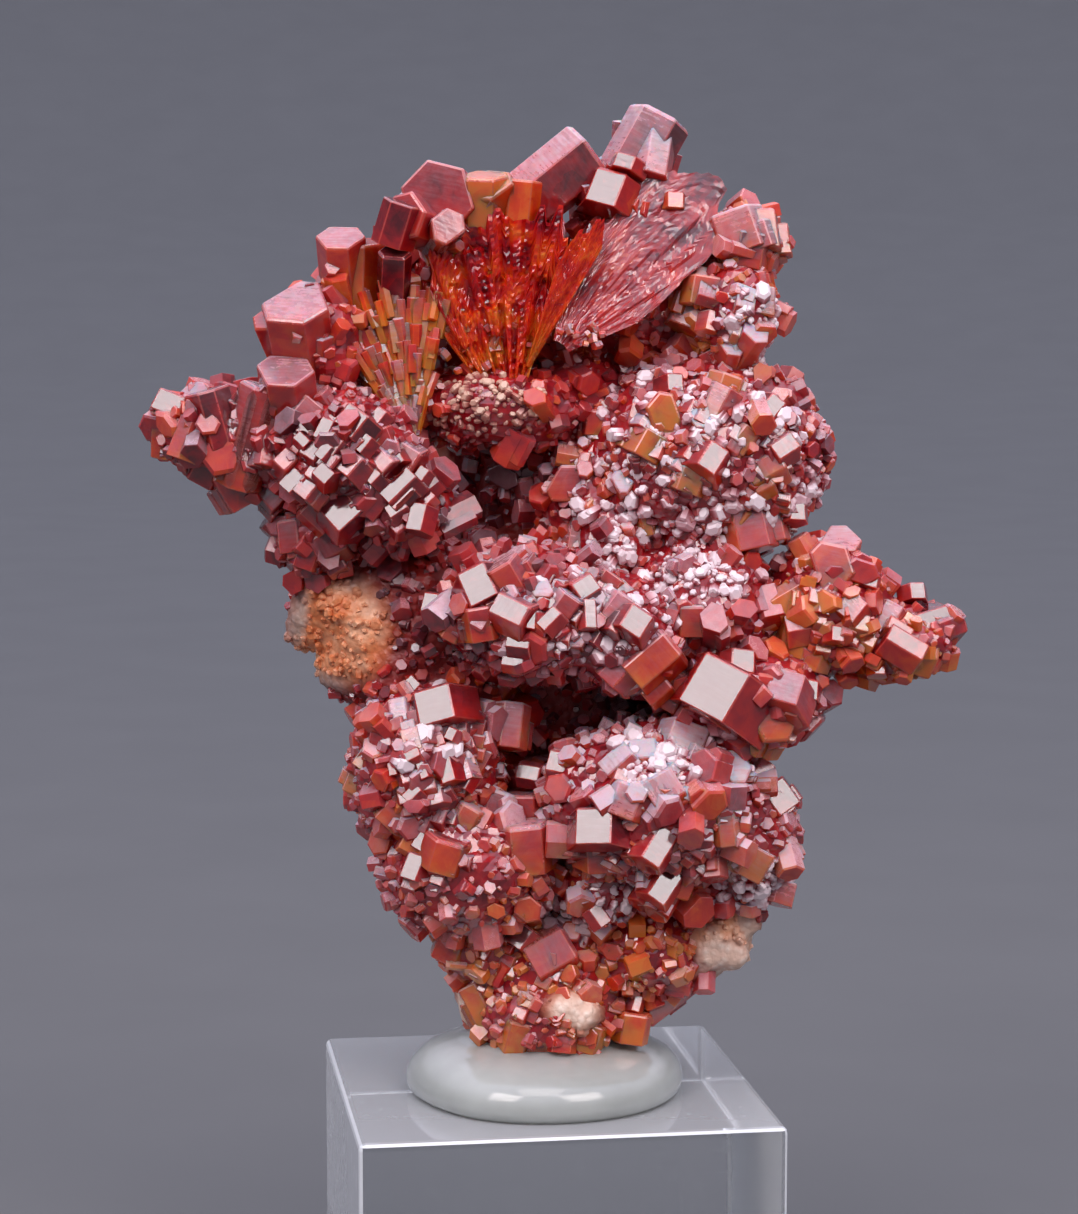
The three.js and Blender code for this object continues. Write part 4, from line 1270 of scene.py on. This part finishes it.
def vanadinite_material(name, bending, clear, glow, settings):
    """Vanadinite, as grown: adamantine lustre, so even head-on faces mirror up to a ninth of the light;
    thick crystals are wine red inside, with a painted orange glow at their edges, and etched ones are veiled
    with pale lilac, which also stands for a painted sheen. Clear crystal lets light through, glow is how much
    of it wanders about inside."""
    made, tree, shader = blank_material(name)
    tone, frost, facet, rim, up = (
        add_node(tree, "ShaderNodeAttribute", {"attribute_name": name}).outputs["Fac"]
        for name in ("tone", "frost", "facet", "rim", "up")
    )
    where = tree.nodes.new("ShaderNodeTexCoord").outputs["Object"]
    along = tree.nodes.new("ShaderNodeTexCoord").outputs["UV"]
    cloud = add_node(tree, "ShaderNodeTexNoise", None, {
        "Vector": where, "Scale": grains(1.923), "Detail": 5.0, "Roughness": 0.6, "Distortion": 0.8,
    })
    flaw = add_node(tree, "ShaderNodeTexVoronoi", None, {"Vector": where, "Scale": grains(1.3333)})
    # The UV map is in millimetres, so growth lines are 2 mm long and 0.25 mm apart
    lines = add_node(tree, "ShaderNodeMapping", None, {"Vector": along, "Scale": (0.5, 4.0, 1.0)})
    growth = add_node(tree, "ShaderNodeTexNoise", None, {"Vector": lines, "Scale": 1.0, "Detail": 2.0})
    wear_and_light = add_node(tree, "ShaderNodeMath", {"operation": "GREATER_THAN"}, {0: facet, 1: 1.5})
    depth = tone
    # Tone drifts with cloud, flaw and facet values; rim adds a painted orange glow at edges and tips
    for source, share in (
        (cloud, 0.85), (flaw.outputs["Color"], 0.2), (facet, 0.34), (wear_and_light, -0.4), (rim, 0.1),
    ):
        depth = add_node(
            tree, "ShaderNodeMath", {"operation": "MULTIPLY_ADD"}, {0: source, 1: share, 2: depth},
        )
    centred = add_node(tree, "ShaderNodeMath", {"operation": "SUBTRACT"}, {0: depth, 1: 0.64})
    body = add_node(tree, "ShaderNodeValToRGB", None, {0: centred}, [
        (0.0, (*settings.wine_red, 1)), (0.22, colour("#a8101e")), (0.48, colour("#d0241a")),
        (0.75, colour("#e85014")), (1.0, (*settings.orange, 1)),
    ])
    # Painted highlight: rounded edges are lowered in tone, then mixed in mottled streaks towards pale coral,
    # as if catching the light
    edge_highlight = add_node(tree, "ShaderNodeMath", {"operation": "MULTIPLY"}, {0: wear_and_light, 1: growth})
    body_with_edge_highlight = add_node(
        tree, "ShaderNodeMix", {"data_type": "RGBA"}, {"Factor": edge_highlight, "A": body, "B": colour("#c8584c")},
    )
    etch = add_node(tree, "ShaderNodeTexNoise", None, {
        "Vector": where, "Scale": grains(0.66667), "Detail": 3.0, "Roughness": 0.65,
    })
    patch = add_node(tree, "ShaderNodeMapRange", None, {
        "Value": etch, "From Min": 0.25, "From Max": 0.65, "To Min": 0.5,
    })
    # Painted reflection: faces that look upwards get more of the pale lilac veil, as if mirroring the bright
    # tent overhead
    sky_sheen = add_node(tree, "ShaderNodeMapRange", None, {
        "Value": up, "From Min": -0.4, "From Max": 0.9, "To Min": 0.2, "To Max": 1.7,
    })
    frost_and_sky_sheen = add_node(tree, "ShaderNodeMath", {"operation": "MULTIPLY"}, {0: frost, 1: sky_sheen})
    thin = add_node(tree, "ShaderNodeMath", {"operation": "POWER"}, {0: frost_and_sky_sheen, 1: 1.5})
    streak = add_node(tree, "ShaderNodeMapRange", None, {
        "Value": growth, "From Min": 0.35, "From Max": 0.65, "To Min": 0.75, "To Max": 1.3,
    })
    combed = add_node(tree, "ShaderNodeMath", {"operation": "MULTIPLY"}, {0: thin, 1: streak})
    veiled = add_node(
        tree, "ShaderNodeMath", {"operation": "MULTIPLY", "use_clamp": True}, {0: combed, 1: patch},
    )
    # The pale lilac veil stands partly for etched frosting and partly for a painted sheen of the tent's light
    skin = add_node(
        tree, "ShaderNodeMix", {"data_type": "RGBA"}, {"Factor": veiled, "A": body_with_edge_highlight, "B": colour("#e6c4ce")},
    )
    gloss = add_node(tree, "ShaderNodeMath", {"operation": "MULTIPLY_ADD"}, {0: facet, 1: 0.1, 2: 0.05})
    dull = add_node(tree, "ShaderNodeMath", {"operation": "MULTIPLY_ADD"}, {0: veiled, 1: 0.4, 2: gloss})
    grooved = add_node(tree, "ShaderNodeBump", None, {
        "Height": growth, "Strength": 0.15, "Distance": 0.05 * MM,
    })
    pitted = add_node(tree, "ShaderNodeBump", None, {
        "Height": etch, "Strength": veiled, "Normal": grooved, "Distance": 0.06 * MM,
    })
    feed(tree, shader, {
        "Base Color": skin, "Roughness": dull, "Normal": pitted, "IOR": bending, "Transmission Weight": clear,
        "Subsurface Weight": glow, "Subsurface Radius": (1.0, 0.2, 0.1), "Subsurface Scale": 0.8 * MM,
    })
    return made


def frosted_material():
    """Vanadinite grains etched by weathering: a dull lilac-white skin with red in its etched hollows, painted
    paler on upward faces and tips and darker red at the feet, as painted light and shade.
    """
    made, tree, shader = blank_material("vanadinite_frosted_grains")
    frost, rim, tone, up = (
        add_node(tree, "ShaderNodeAttribute", {"attribute_name": name}).outputs["Fac"]
        for name in ("frost", "rim", "tone", "up")
    )
    where = tree.nodes.new("ShaderNodeTexCoord").outputs["Object"]
    etch = add_node(tree, "ShaderNodeTexNoise", None, {
        "Vector": where, "Scale": grains(0.45455), "Detail": 3.0, "Roughness": 0.65,
    })
    # Painted light and shade: frost times rim pales grain tips and leaves feet red; upward faces are paler
    # still
    skin = add_node(tree, "ShaderNodeMath", {"operation": "MULTIPLY"}, {0: frost, 1: rim})
    skin_and_top_light = add_node(tree, "ShaderNodeMath", {"operation": "MULTIPLY_ADD"}, {0: up, 1: 0.22, 2: skin})
    wear_and_light = add_node(tree, "ShaderNodeMath", {"operation": "MULTIPLY_ADD"}, {0: etch, 1: 0.4, 2: skin_and_top_light})
    body = add_node(tree, "ShaderNodeValToRGB", None, {0: wear_and_light}, [
        (0.25, colour("#8c2028")), (0.5, colour("#b46a72")),
        (0.8, colour("#d2a4aa")), (1.0, colour("#ead6da")),
    ])
    toned = add_node(
        tree, "ShaderNodeMix", {"data_type": "RGBA", "blend_type": "MULTIPLY"},
        {"Factor": tone, "A": body, "B": colour("#e4ccae")},
    )
    dull = add_node(tree, "ShaderNodeMapRange", None, {"Value": etch, "To Min": 0.22, "To Max": 0.5})
    bump = add_node(tree, "ShaderNodeBump", None, {"Height": etch, "Strength": 0.5, "Distance": 0.05 * MM})
    feed(tree, shader, {"Base Color": toned, "Roughness": dull, "Normal": bump, "IOR": 1.7})
    return made


def rock_material():
    """Granular calcite-rich rock, broken by hand: cream grains stained orange by iron, chalky in places."""
    made, tree, shader = blank_material("matrix_granular_broken")
    where = tree.nodes.new("ShaderNodeTexCoord").outputs["Object"]
    stain = add_node(tree, "ShaderNodeTexNoise", None, {
        "Vector": where, "Scale": grains(3.8462), "Detail": 5.0, "Roughness": 0.6,
    })
    grain = add_node(tree, "ShaderNodeTexVoronoi", None, {"Vector": where, "Scale": grains(0.52632)})
    fine = add_node(tree, "ShaderNodeTexNoise", None, {
        "Vector": where, "Scale": grains(0.38462), "Detail": 3.0,
    })
    base = add_node(tree, "ShaderNodeValToRGB", None, {0: stain}, [
        (0.3, colour("#e8743a")), (0.45, colour("#f79c64")),
        (0.58, colour("#fcc49c")), (0.75, colour("#fdeee0")),
    ])
    for name, shade in (("chalk", "#f8e2d2"), ("deep", "#8c1c16")):
        share = add_node(tree, "ShaderNodeAttribute", {"attribute_name": name}).outputs["Fac"]
        base = add_node(
            tree, "ShaderNodeMix", {"data_type": "RGBA"}, {"Factor": share, "A": base, "B": colour(shade)},
        )
    speck = add_node(tree, "ShaderNodeValToRGB", None, {0: grain}, [
        (0.0, colour("#ffffff")), (0.6, colour("#c89a7c")),
    ])
    speckled = add_node(
        tree, "ShaderNodeMix", {"data_type": "RGBA", "blend_type": "MULTIPLY"},
        {"Factor": 0.5, "A": base, "B": speck},
    )
    height = add_node(tree, "ShaderNodeMath", {"operation": "SUBTRACT"}, {0: fine, 1: grain})
    bump = add_node(tree, "ShaderNodeBump", None, {"Height": height, "Strength": 0.5, "Distance": 0.2 * MM})
    rough = add_node(tree, "ShaderNodeMapRange", None, {"Value": grain, "To Min": 0.2, "To Max": 0.7})
    feed(tree, shader, {"Base Color": speckled, "Normal": bump, "Roughness": rough})
    return made


def putty_material():
    """Silicone mounting putty, pressed by hand: milky and soft-edged, with a wet-looking skin."""
    made, tree, shader = blank_material("putty_milky_pressed")
    where = tree.nodes.new("ShaderNodeTexCoord").outputs["Object"]
    cloud = add_node(tree, "ShaderNodeTexNoise", None, {
        "Vector": where, "Scale": grains(4.5455), "Detail": 3.0,
    })
    body = add_node(tree, "ShaderNodeValToRGB", None, {0: cloud}, [
        (0.3, colour("#b8bcb6")), (0.7, colour("#c8ccc6")),
    ])
    skin = add_node(tree, "ShaderNodeTexNoise", None, {"Vector": where, "Scale": grains(2.0), "Detail": 2.0})
    bump = add_node(tree, "ShaderNodeBump", None, {"Height": skin, "Strength": 0.08, "Distance": 0.2 * MM})
    smear = add_node(tree, "ShaderNodeMapRange", None, {"Value": cloud, "To Min": 0.08, "To Max": 0.18})
    feed(tree, shader, {
        "Base Color": body, "Normal": bump, "Roughness": smear, "Transmission Weight": 0.3, "IOR": 1.41,
        "Subsurface Weight": 0.7, "Subsurface Radius": (1.0, 1.0, 1.0), "Subsurface Scale": 4.0 * MM,
        "Coat Weight": 0.6, "Coat Roughness": 0.04, "Coat IOR": 1.5,
    })
    return made


def acrylic_material(name, haze):
    """Cast acrylic, sawn and polished: clear, faintly cool, with handling dust and hairline scuffs;
    on a face that isn't fully polished a share of the light stays on the surface as haze."""
    made, tree, shader = blank_material(name)
    where = tree.nodes.new("ShaderNodeTexCoord").outputs["Object"]
    scuff = add_node(tree, "ShaderNodeTexNoise", None, {
        "Vector": where, "Scale": grains(1.1111), "Detail": 6.0, "Roughness": 0.7,
    })
    rough = add_node(tree, "ShaderNodeMapRange", None, {
        "Value": scuff, "From Min": 0.5, "From Max": 0.75, "To Min": 0.03, "To Max": 0.2,
    })
    feed(tree, shader, {
        "Base Color": colour("#f4f7f8"), "Roughness": rough, "Transmission Weight": 1.0 - haze, "IOR": 1.49,
    })
    return made


def floor_material(base):
    """Matte studio paper: a plain pale sweep with a faint tooth."""
    made, tree, shader = blank_material("studio_paper_matte")
    where = tree.nodes.new("ShaderNodeTexCoord").outputs["Object"]
    tooth = add_node(tree, "ShaderNodeTexNoise", None, {
        "Vector": where, "Scale": grains(25.0), "Detail": 3.0,
    })
    paler = tuple(min(1.0, c * 1.06) for c in base)
    body = add_node(tree, "ShaderNodeValToRGB", None, {0: tooth}, [(0.3, (*base, 1)), (0.7, (*paler, 1))])
    feed(tree, shader, {"Base Color": body, "Roughness": 0.85})
    return made


# Operators


def mark_bed(skin, rock):
    """Writes on a bed how thickly each crop of small crystals covers it and how orange their tone is; in the
    hollows the tone is lowered and frosted grains thinned, as painted shade.
    """
    turn_back = Matrix.Rotation(-SPECIMEN_TURN, 3, "Z")
    lumps = []
    if rock:
        for crust in CRUSTS.values():
            lumps += [(point_at_depth(pixel, depth), radii) for pixel, depth, radii in crust]
    rows = []
    for vertex in skin.vertices:
        point = turn_back @ vertex.co / MM
        pixel = pixel_of(point)
        front = point.y < BACK_DEPTH
        rime = within(pixel, RIMED) if front else 0.2
        grainy = within(pixel, GRAINY) if front else 0.0
        # Painted shade: crystals in the hollows get a lower tone and fewer frosted grains
        hollow_shade = within(pixel, SHADED_HOLLOWS) if front else 0.0
        warm = 0.15 * within(pixel, ORANGE) if front else 0.0
        bare = within(pixel, BARE_ROCK) if rock and front else 0.0
        chalk = within(pixel, CHALK) if rock and front else 0.3
        buried = any(
            Vector((point - centre)[i] / radii[i] for i in range(3)).length < 1.05 for centre, radii in lumps
        )
        covered = 0.0 if bare > 0.3 or buried else 1.0 if front or not rock else 0.2
        gritty = bare * (1 - chalk) if bare > 0.2 and not buried else 0.0
        rows.append({
            "middle": covered * (1 - 0.6 * rime) * (1 - 0.9 * grainy),
            "fine": covered * (1 - 0.9 * grainy),
            "rime": covered * rime * (1 - hollow_shade) * (1 - 0.9 * grainy),
            "grainy": gritty if rock else grainy,
            "warm": warm - 0.3 * hollow_shade,
            "chalk": chalk,
            "deep": 1.0 - bare if front else 0.15,
            "tone": 0.3,
            "frost": 0.05,
            "rim": 0.3,
        })
    for name in rows[0]:
        float_attribute(skin, name, "POINT", [row[name] for row in rows])


def druse_values(group, large, sharp, frosted, settings, materials):
    """What the druse tree is given for one group, by the names of its inputs."""
    middle, middle_gap, fine, fine_gap, low, high, frost = DRUSE[group]
    rock = group not in CRUSTS
    crops = {
        "Middle": (middle * MM, middle_gap * MM, low - 0.28, high - 0.18, 0.2 * frost, 1.5 * frost),
        "Fine": (fine * MM, fine_gap * MM, low - 0.3, high - 0.2, 0.3 * frost, frost + 0.2),
        "Frosted": (0.5 * MM, 0.94 * MM, 0.0, 0.0, 0.3 + 0.5 * frost, 0.7 + 0.8 * frost),
        "Grain": (0.4 * MM, 0.5 * MM, 0.0, 0.0, 0.4 + frost, 0.7 + frost),
    }
    if rock:
        crops["Grain"] = (0.28 * MM, 0.55 * MM, 0.8, 1.0, 0.1, 0.5)
    elif group == "fan_sheaf":
        crops["Grain"] = (0.34 * MM, 0.44 * MM, 1.0, 1.0, 0.4 + frost, 0.7 + frost)
    values = {
        "Large crystals": large, "Sharp habits": sharp, "Frosted habits": frosted,
        "Lean": settings.lean, "Seed": settings.seed, "Keep bed": not rock,
    }
    values |= {f"{surface} material": material for surface, material in zip(SURFACES, materials)}
    for crop, given in crops.items():
        values |= {f"{crop} {part}": value for part, value in zip(CROP_PARTS, given)}
    return values


class SPECIMEN_OT_crystals(bpy.types.Operator):
    """Grow every crystal group over its own crust"""

    bl_idname = "specimen.crystals"
    bl_label = "Crystal groups"

    def execute(self, context):
        settings = context.scene.specimen
        materials = [
            vanadinite_material("vanadinite_natural_druse", 1.8, 0.2, 0.5, settings), frosted_material(),
            vanadinite_material("vanadinite_natural_clear", 1.5, 0.25, 0.75, settings),
            vanadinite_material("vanadinite_natural_faces", 1.85, 0.3, 0.8, settings),
        ]
        sharp = habits("sharp_habits", 31, False)
        frosted = habits("frosted_habits", 57, True)
        tree = druse_tree()
        for group in CRUSTS:
            skin = lump_skin(group + "_crust", CRUSTS[group], settings.crust_voxel, crust_relief, 4)
            bed = bmesh.new()
            bed.from_mesh(skin)
            seats = BVHTree.FromBMesh(bed)
            bed.free()
            mark_bed(skin, rock=False)
            large = new_object(group + "_large", large_crystals(group, seats, settings))
            values = druse_values(group, large, sharp, frosted, settings, materials)
            mesh = planted_mesh(group + "_crystals", skin, tree, values)
            bpy.data.objects.remove(large)
            hand_over(new_object(group + "_crystals", mesh), group)
        discard_habits(sharp)
        discard_habits(frosted)
        return {"FINISHED"}


class SPECIMEN_OT_rock(bpy.types.Operator):
    """Break out the matrix rock, bare in places and dusted with small crystals elsewhere"""

    bl_idname = "specimen.rock"
    bl_label = "Matrix rock"

    def execute(self, context):
        settings = context.scene.specimen
        skin = lump_skin("matrix_rock_surface", ROCK, settings.rock_voxel, rock_relief, 1)
        mark_bed(skin, rock=True)
        sharp = habits("sharp_habits", 31, False)
        frosted = habits("frosted_habits", 57, True)
        nothing = new_object("no_large", bpy.data.meshes.new("no_large"))
        stone = rock_material()
        materials = [bpy.data.materials["vanadinite_natural_druse"], stone, stone, stone]
        values = druse_values("matrix_rock", nothing, sharp, frosted, settings, materials)
        grown = planted_mesh("matrix_dusting_crystals", skin.copy(), druse_tree(), values)
        bpy.data.objects.remove(nothing)
        discard_habits(sharp)
        discard_habits(frosted)
        skin.materials.append(stone)
        smooth(skin)
        hand_over(new_object("matrix_rock_surface", skin), "matrix_rock")
        dusting = new_object("matrix_dusting_crystals", grown)
        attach(dusting, BODY)
        return {"FINISHED"}


class SPECIMEN_OT_putty(bpy.types.Operator):
    """Press the putty dab between the block and the foot of the specimen"""

    bl_idname = "specimen.putty"
    bl_label = "Mounting putty"

    def execute(self, context):
        stand = context.scene.stand
        low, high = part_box("mounting_putty")
        middle = Vector(((low.x + high.x) / 2, (low.y + high.y) / 2, low.z))
        sides = 72
        rings = []
        for reach, rise in DAB:
            ring = []
            for i in range(sides if reach else 1):
                angle = 2 * math.pi * i / sides
                lobe = 1 + 0.012 * math.sin(3 * angle + 0.6) + 0.008 * math.sin(5 * angle)
                out = Vector((math.cos(angle), math.sin(angle), 0)) * reach * stand.putty_radius * lobe
                if reach:
                    out += Vector(NECK_LEAN) * max(0.0, min(1.0, rise - 0.9))
                ring.append(middle + out + Vector((0, 0, rise * stand.putty_height)))
            rings.append(ring)
        mesh = turned_skin("mounting_putty_dab", rings)
        mesh.materials.append(putty_material())
        hand_over(new_object("mounting_putty_dab", mesh), "mounting_putty")
        return {"FINISHED"}


class SPECIMEN_OT_block(bpy.types.Operator):
    """Polish the acrylic display block"""

    bl_idname = "specimen.block"
    bl_label = "Acrylic block"

    def execute(self, context):
        edge = context.scene.stand.block_edge
        low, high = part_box("acrylic_block")
        shape = bmesh.new()
        bmesh.ops.create_cube(shape, size=1)
        for vertex in shape.verts:
            vertex.co = Vector([low[i] + (vertex.co[i] + 0.5) * (high[i] - low[i]) for i in range(3)])
        edges = list(shape.edges)
        bmesh.ops.bevel(shape, geom=edges, offset=edge, segments=3, affect="EDGES", profile=0.5)
        mesh = new_mesh("acrylic_block_polished", shape)
        for finish, haze in (("polished", 0.0), ("satin", 0.34), ("sawn", 0.75)):
            mesh.materials.append(acrylic_material("acrylic_cast_" + finish, haze))
        for polygon in mesh.polygons:
            if polygon.normal.z > 0.9:
                polygon.material_index = 1
            elif abs(polygon.normal.y) < 0.9 and polygon.normal.z > -0.9:
                polygon.material_index = 2
        block = new_object("acrylic_block_polished", mesh)
        block.visible_shadow = False
        hand_over(block, "acrylic_block")
        return {"FINISHED"}


class SPECIMEN_OT_stage(bpy.types.Operator):
    """Set the floor, the lights and the camera"""

    bl_idname = "specimen.stage"
    bl_label = "Stage"

    def execute(self, context):
        scene = context.scene
        stage = scene.stage
        sides = 96
        turns = [2 * math.pi * i / sides for i in range(sides)]
        rings = []
        for reach, rise in SWEEP:
            ring = turns if reach else turns[:1]
            rings.append([(reach * math.cos(turn), reach * math.sin(turn), rise) for turn in ring])
        mesh = turned_skin("floor", rings)
        mesh.materials.append(floor_material(tuple(stage.floor_colour)))
        new_object("floor", mesh)

        for name, (azimuth, elevation, share) in SOFTBOXES.items():
            self.softbox(name, azimuth, elevation, share * stage.softbox_power)

        world = bpy.data.worlds.new("studio")
        scene.world = world
        world.use_nodes = True
        sky = world.node_tree
        where = sky.nodes.new("ShaderNodeTexCoord").outputs["Generated"]
        height = add_node(sky, "ShaderNodeSeparateXYZ", None, {0: where}).outputs["Z"]
        tent = [(place, tuple(glow * c for c in colour("#e6e8ff")[:3]) + (1,)) for place, glow in TENT]
        glow = add_node(sky, "ShaderNodeValToRGB", None, {0: height}, tent)
        feed(sky, sky.nodes["Background"], {"Color": glow, "Strength": stage.dome_strength})

        camera = bpy.data.cameras.new("camera")
        camera.sensor_width = 36.0
        camera.lens = FOCAL_PIXELS / PICTURE[1] * camera.sensor_width
        camera.clip_start = 0.01
        camera.clip_end = 20.0
        seen = new_object("camera", camera)
        look = Matrix.Rotation(SPECIMEN_TURN, 4, "Z") @ Matrix.Rotation(math.pi / 2 - EYE_TILT, 4, "X")
        seen.matrix_world = Matrix.Translation(to_row(EYE_MM)) @ look
        scene.camera = seen
        scene.view_settings.view_transform = "Standard"
        light_paths = scene.cycles
        light_paths.use_denoising = True
        light_paths.adaptive_threshold = 0.2
        light_paths.max_bounces = 6
        light_paths.diffuse_bounces = 3
        light_paths.glossy_bounces = 3
        light_paths.transmission_bounces = 6
        light_paths.caustics_reflective = False
        light_paths.sample_clamp_indirect = 4.0
        return {"FINISHED"}

    def softbox(self, name, azimuth, elevation, power):
        """A square soft light on the viewer's side, aimed at the specimen."""
        away = Matrix.Rotation(SPECIMEN_TURN, 3, "Z") @ facing(azimuth, elevation)
        light = bpy.data.lights.new(name, "AREA")
        light.size = SOFTBOX_SIZE
        light.energy = power
        light.color = colour("#fff3f0")[:3]
        lamp = new_object(name, light)
        lamp.location = to_row((0, -2, 55)) + away * SOFTBOX_DISTANCE
        lamp.rotation_euler = away.to_track_quat("Z", "Y").to_euler()


class SPECIMEN_PT_panel(bpy.types.Panel):
    """Lists the specimen's pieces and their settings"""

    bl_idname = "SPECIMEN_PT_panel"
    bl_label = "Vanadinite on matrix"
    bl_space_type = "VIEW_3D"
    bl_region_type = "UI"
    bl_category = "Specimen"

    def draw(self, context):
        for operator in PIECES:
            self.layout.operator(operator.bl_idname)
        for group in (context.scene.specimen, context.scene.stand, context.scene.stage):
            for name in group.__annotations__:
                self.layout.prop(group, name)


PIECES = [SPECIMEN_OT_crystals, SPECIMEN_OT_rock, SPECIMEN_OT_putty, SPECIMEN_OT_block, SPECIMEN_OT_stage]
GROUPS = [SpecimenSettings, StandSettings, StageSettings]


def register():
    for made in GROUPS + PIECES + [SPECIMEN_PT_panel]:
        bpy.utils.register_class(made)
    bpy.types.Scene.specimen = PointerProperty(type=SpecimenSettings)
    bpy.types.Scene.stand = PointerProperty(type=StandSettings)
    bpy.types.Scene.stage = PointerProperty(type=StageSettings)


def unregister():
    for name in ("specimen", "stand", "stage"):
        delattr(bpy.types.Scene, name)
    for made in reversed(GROUPS + PIECES + [SPECIMEN_PT_panel]):
        bpy.utils.unregister_class(made)


def main():
    register()
    for operator in PIECES:
        space, name = operator.bl_idname.split(".")
        getattr(getattr(bpy.ops, space), name)()


if __name__ == "__main__":
    main()
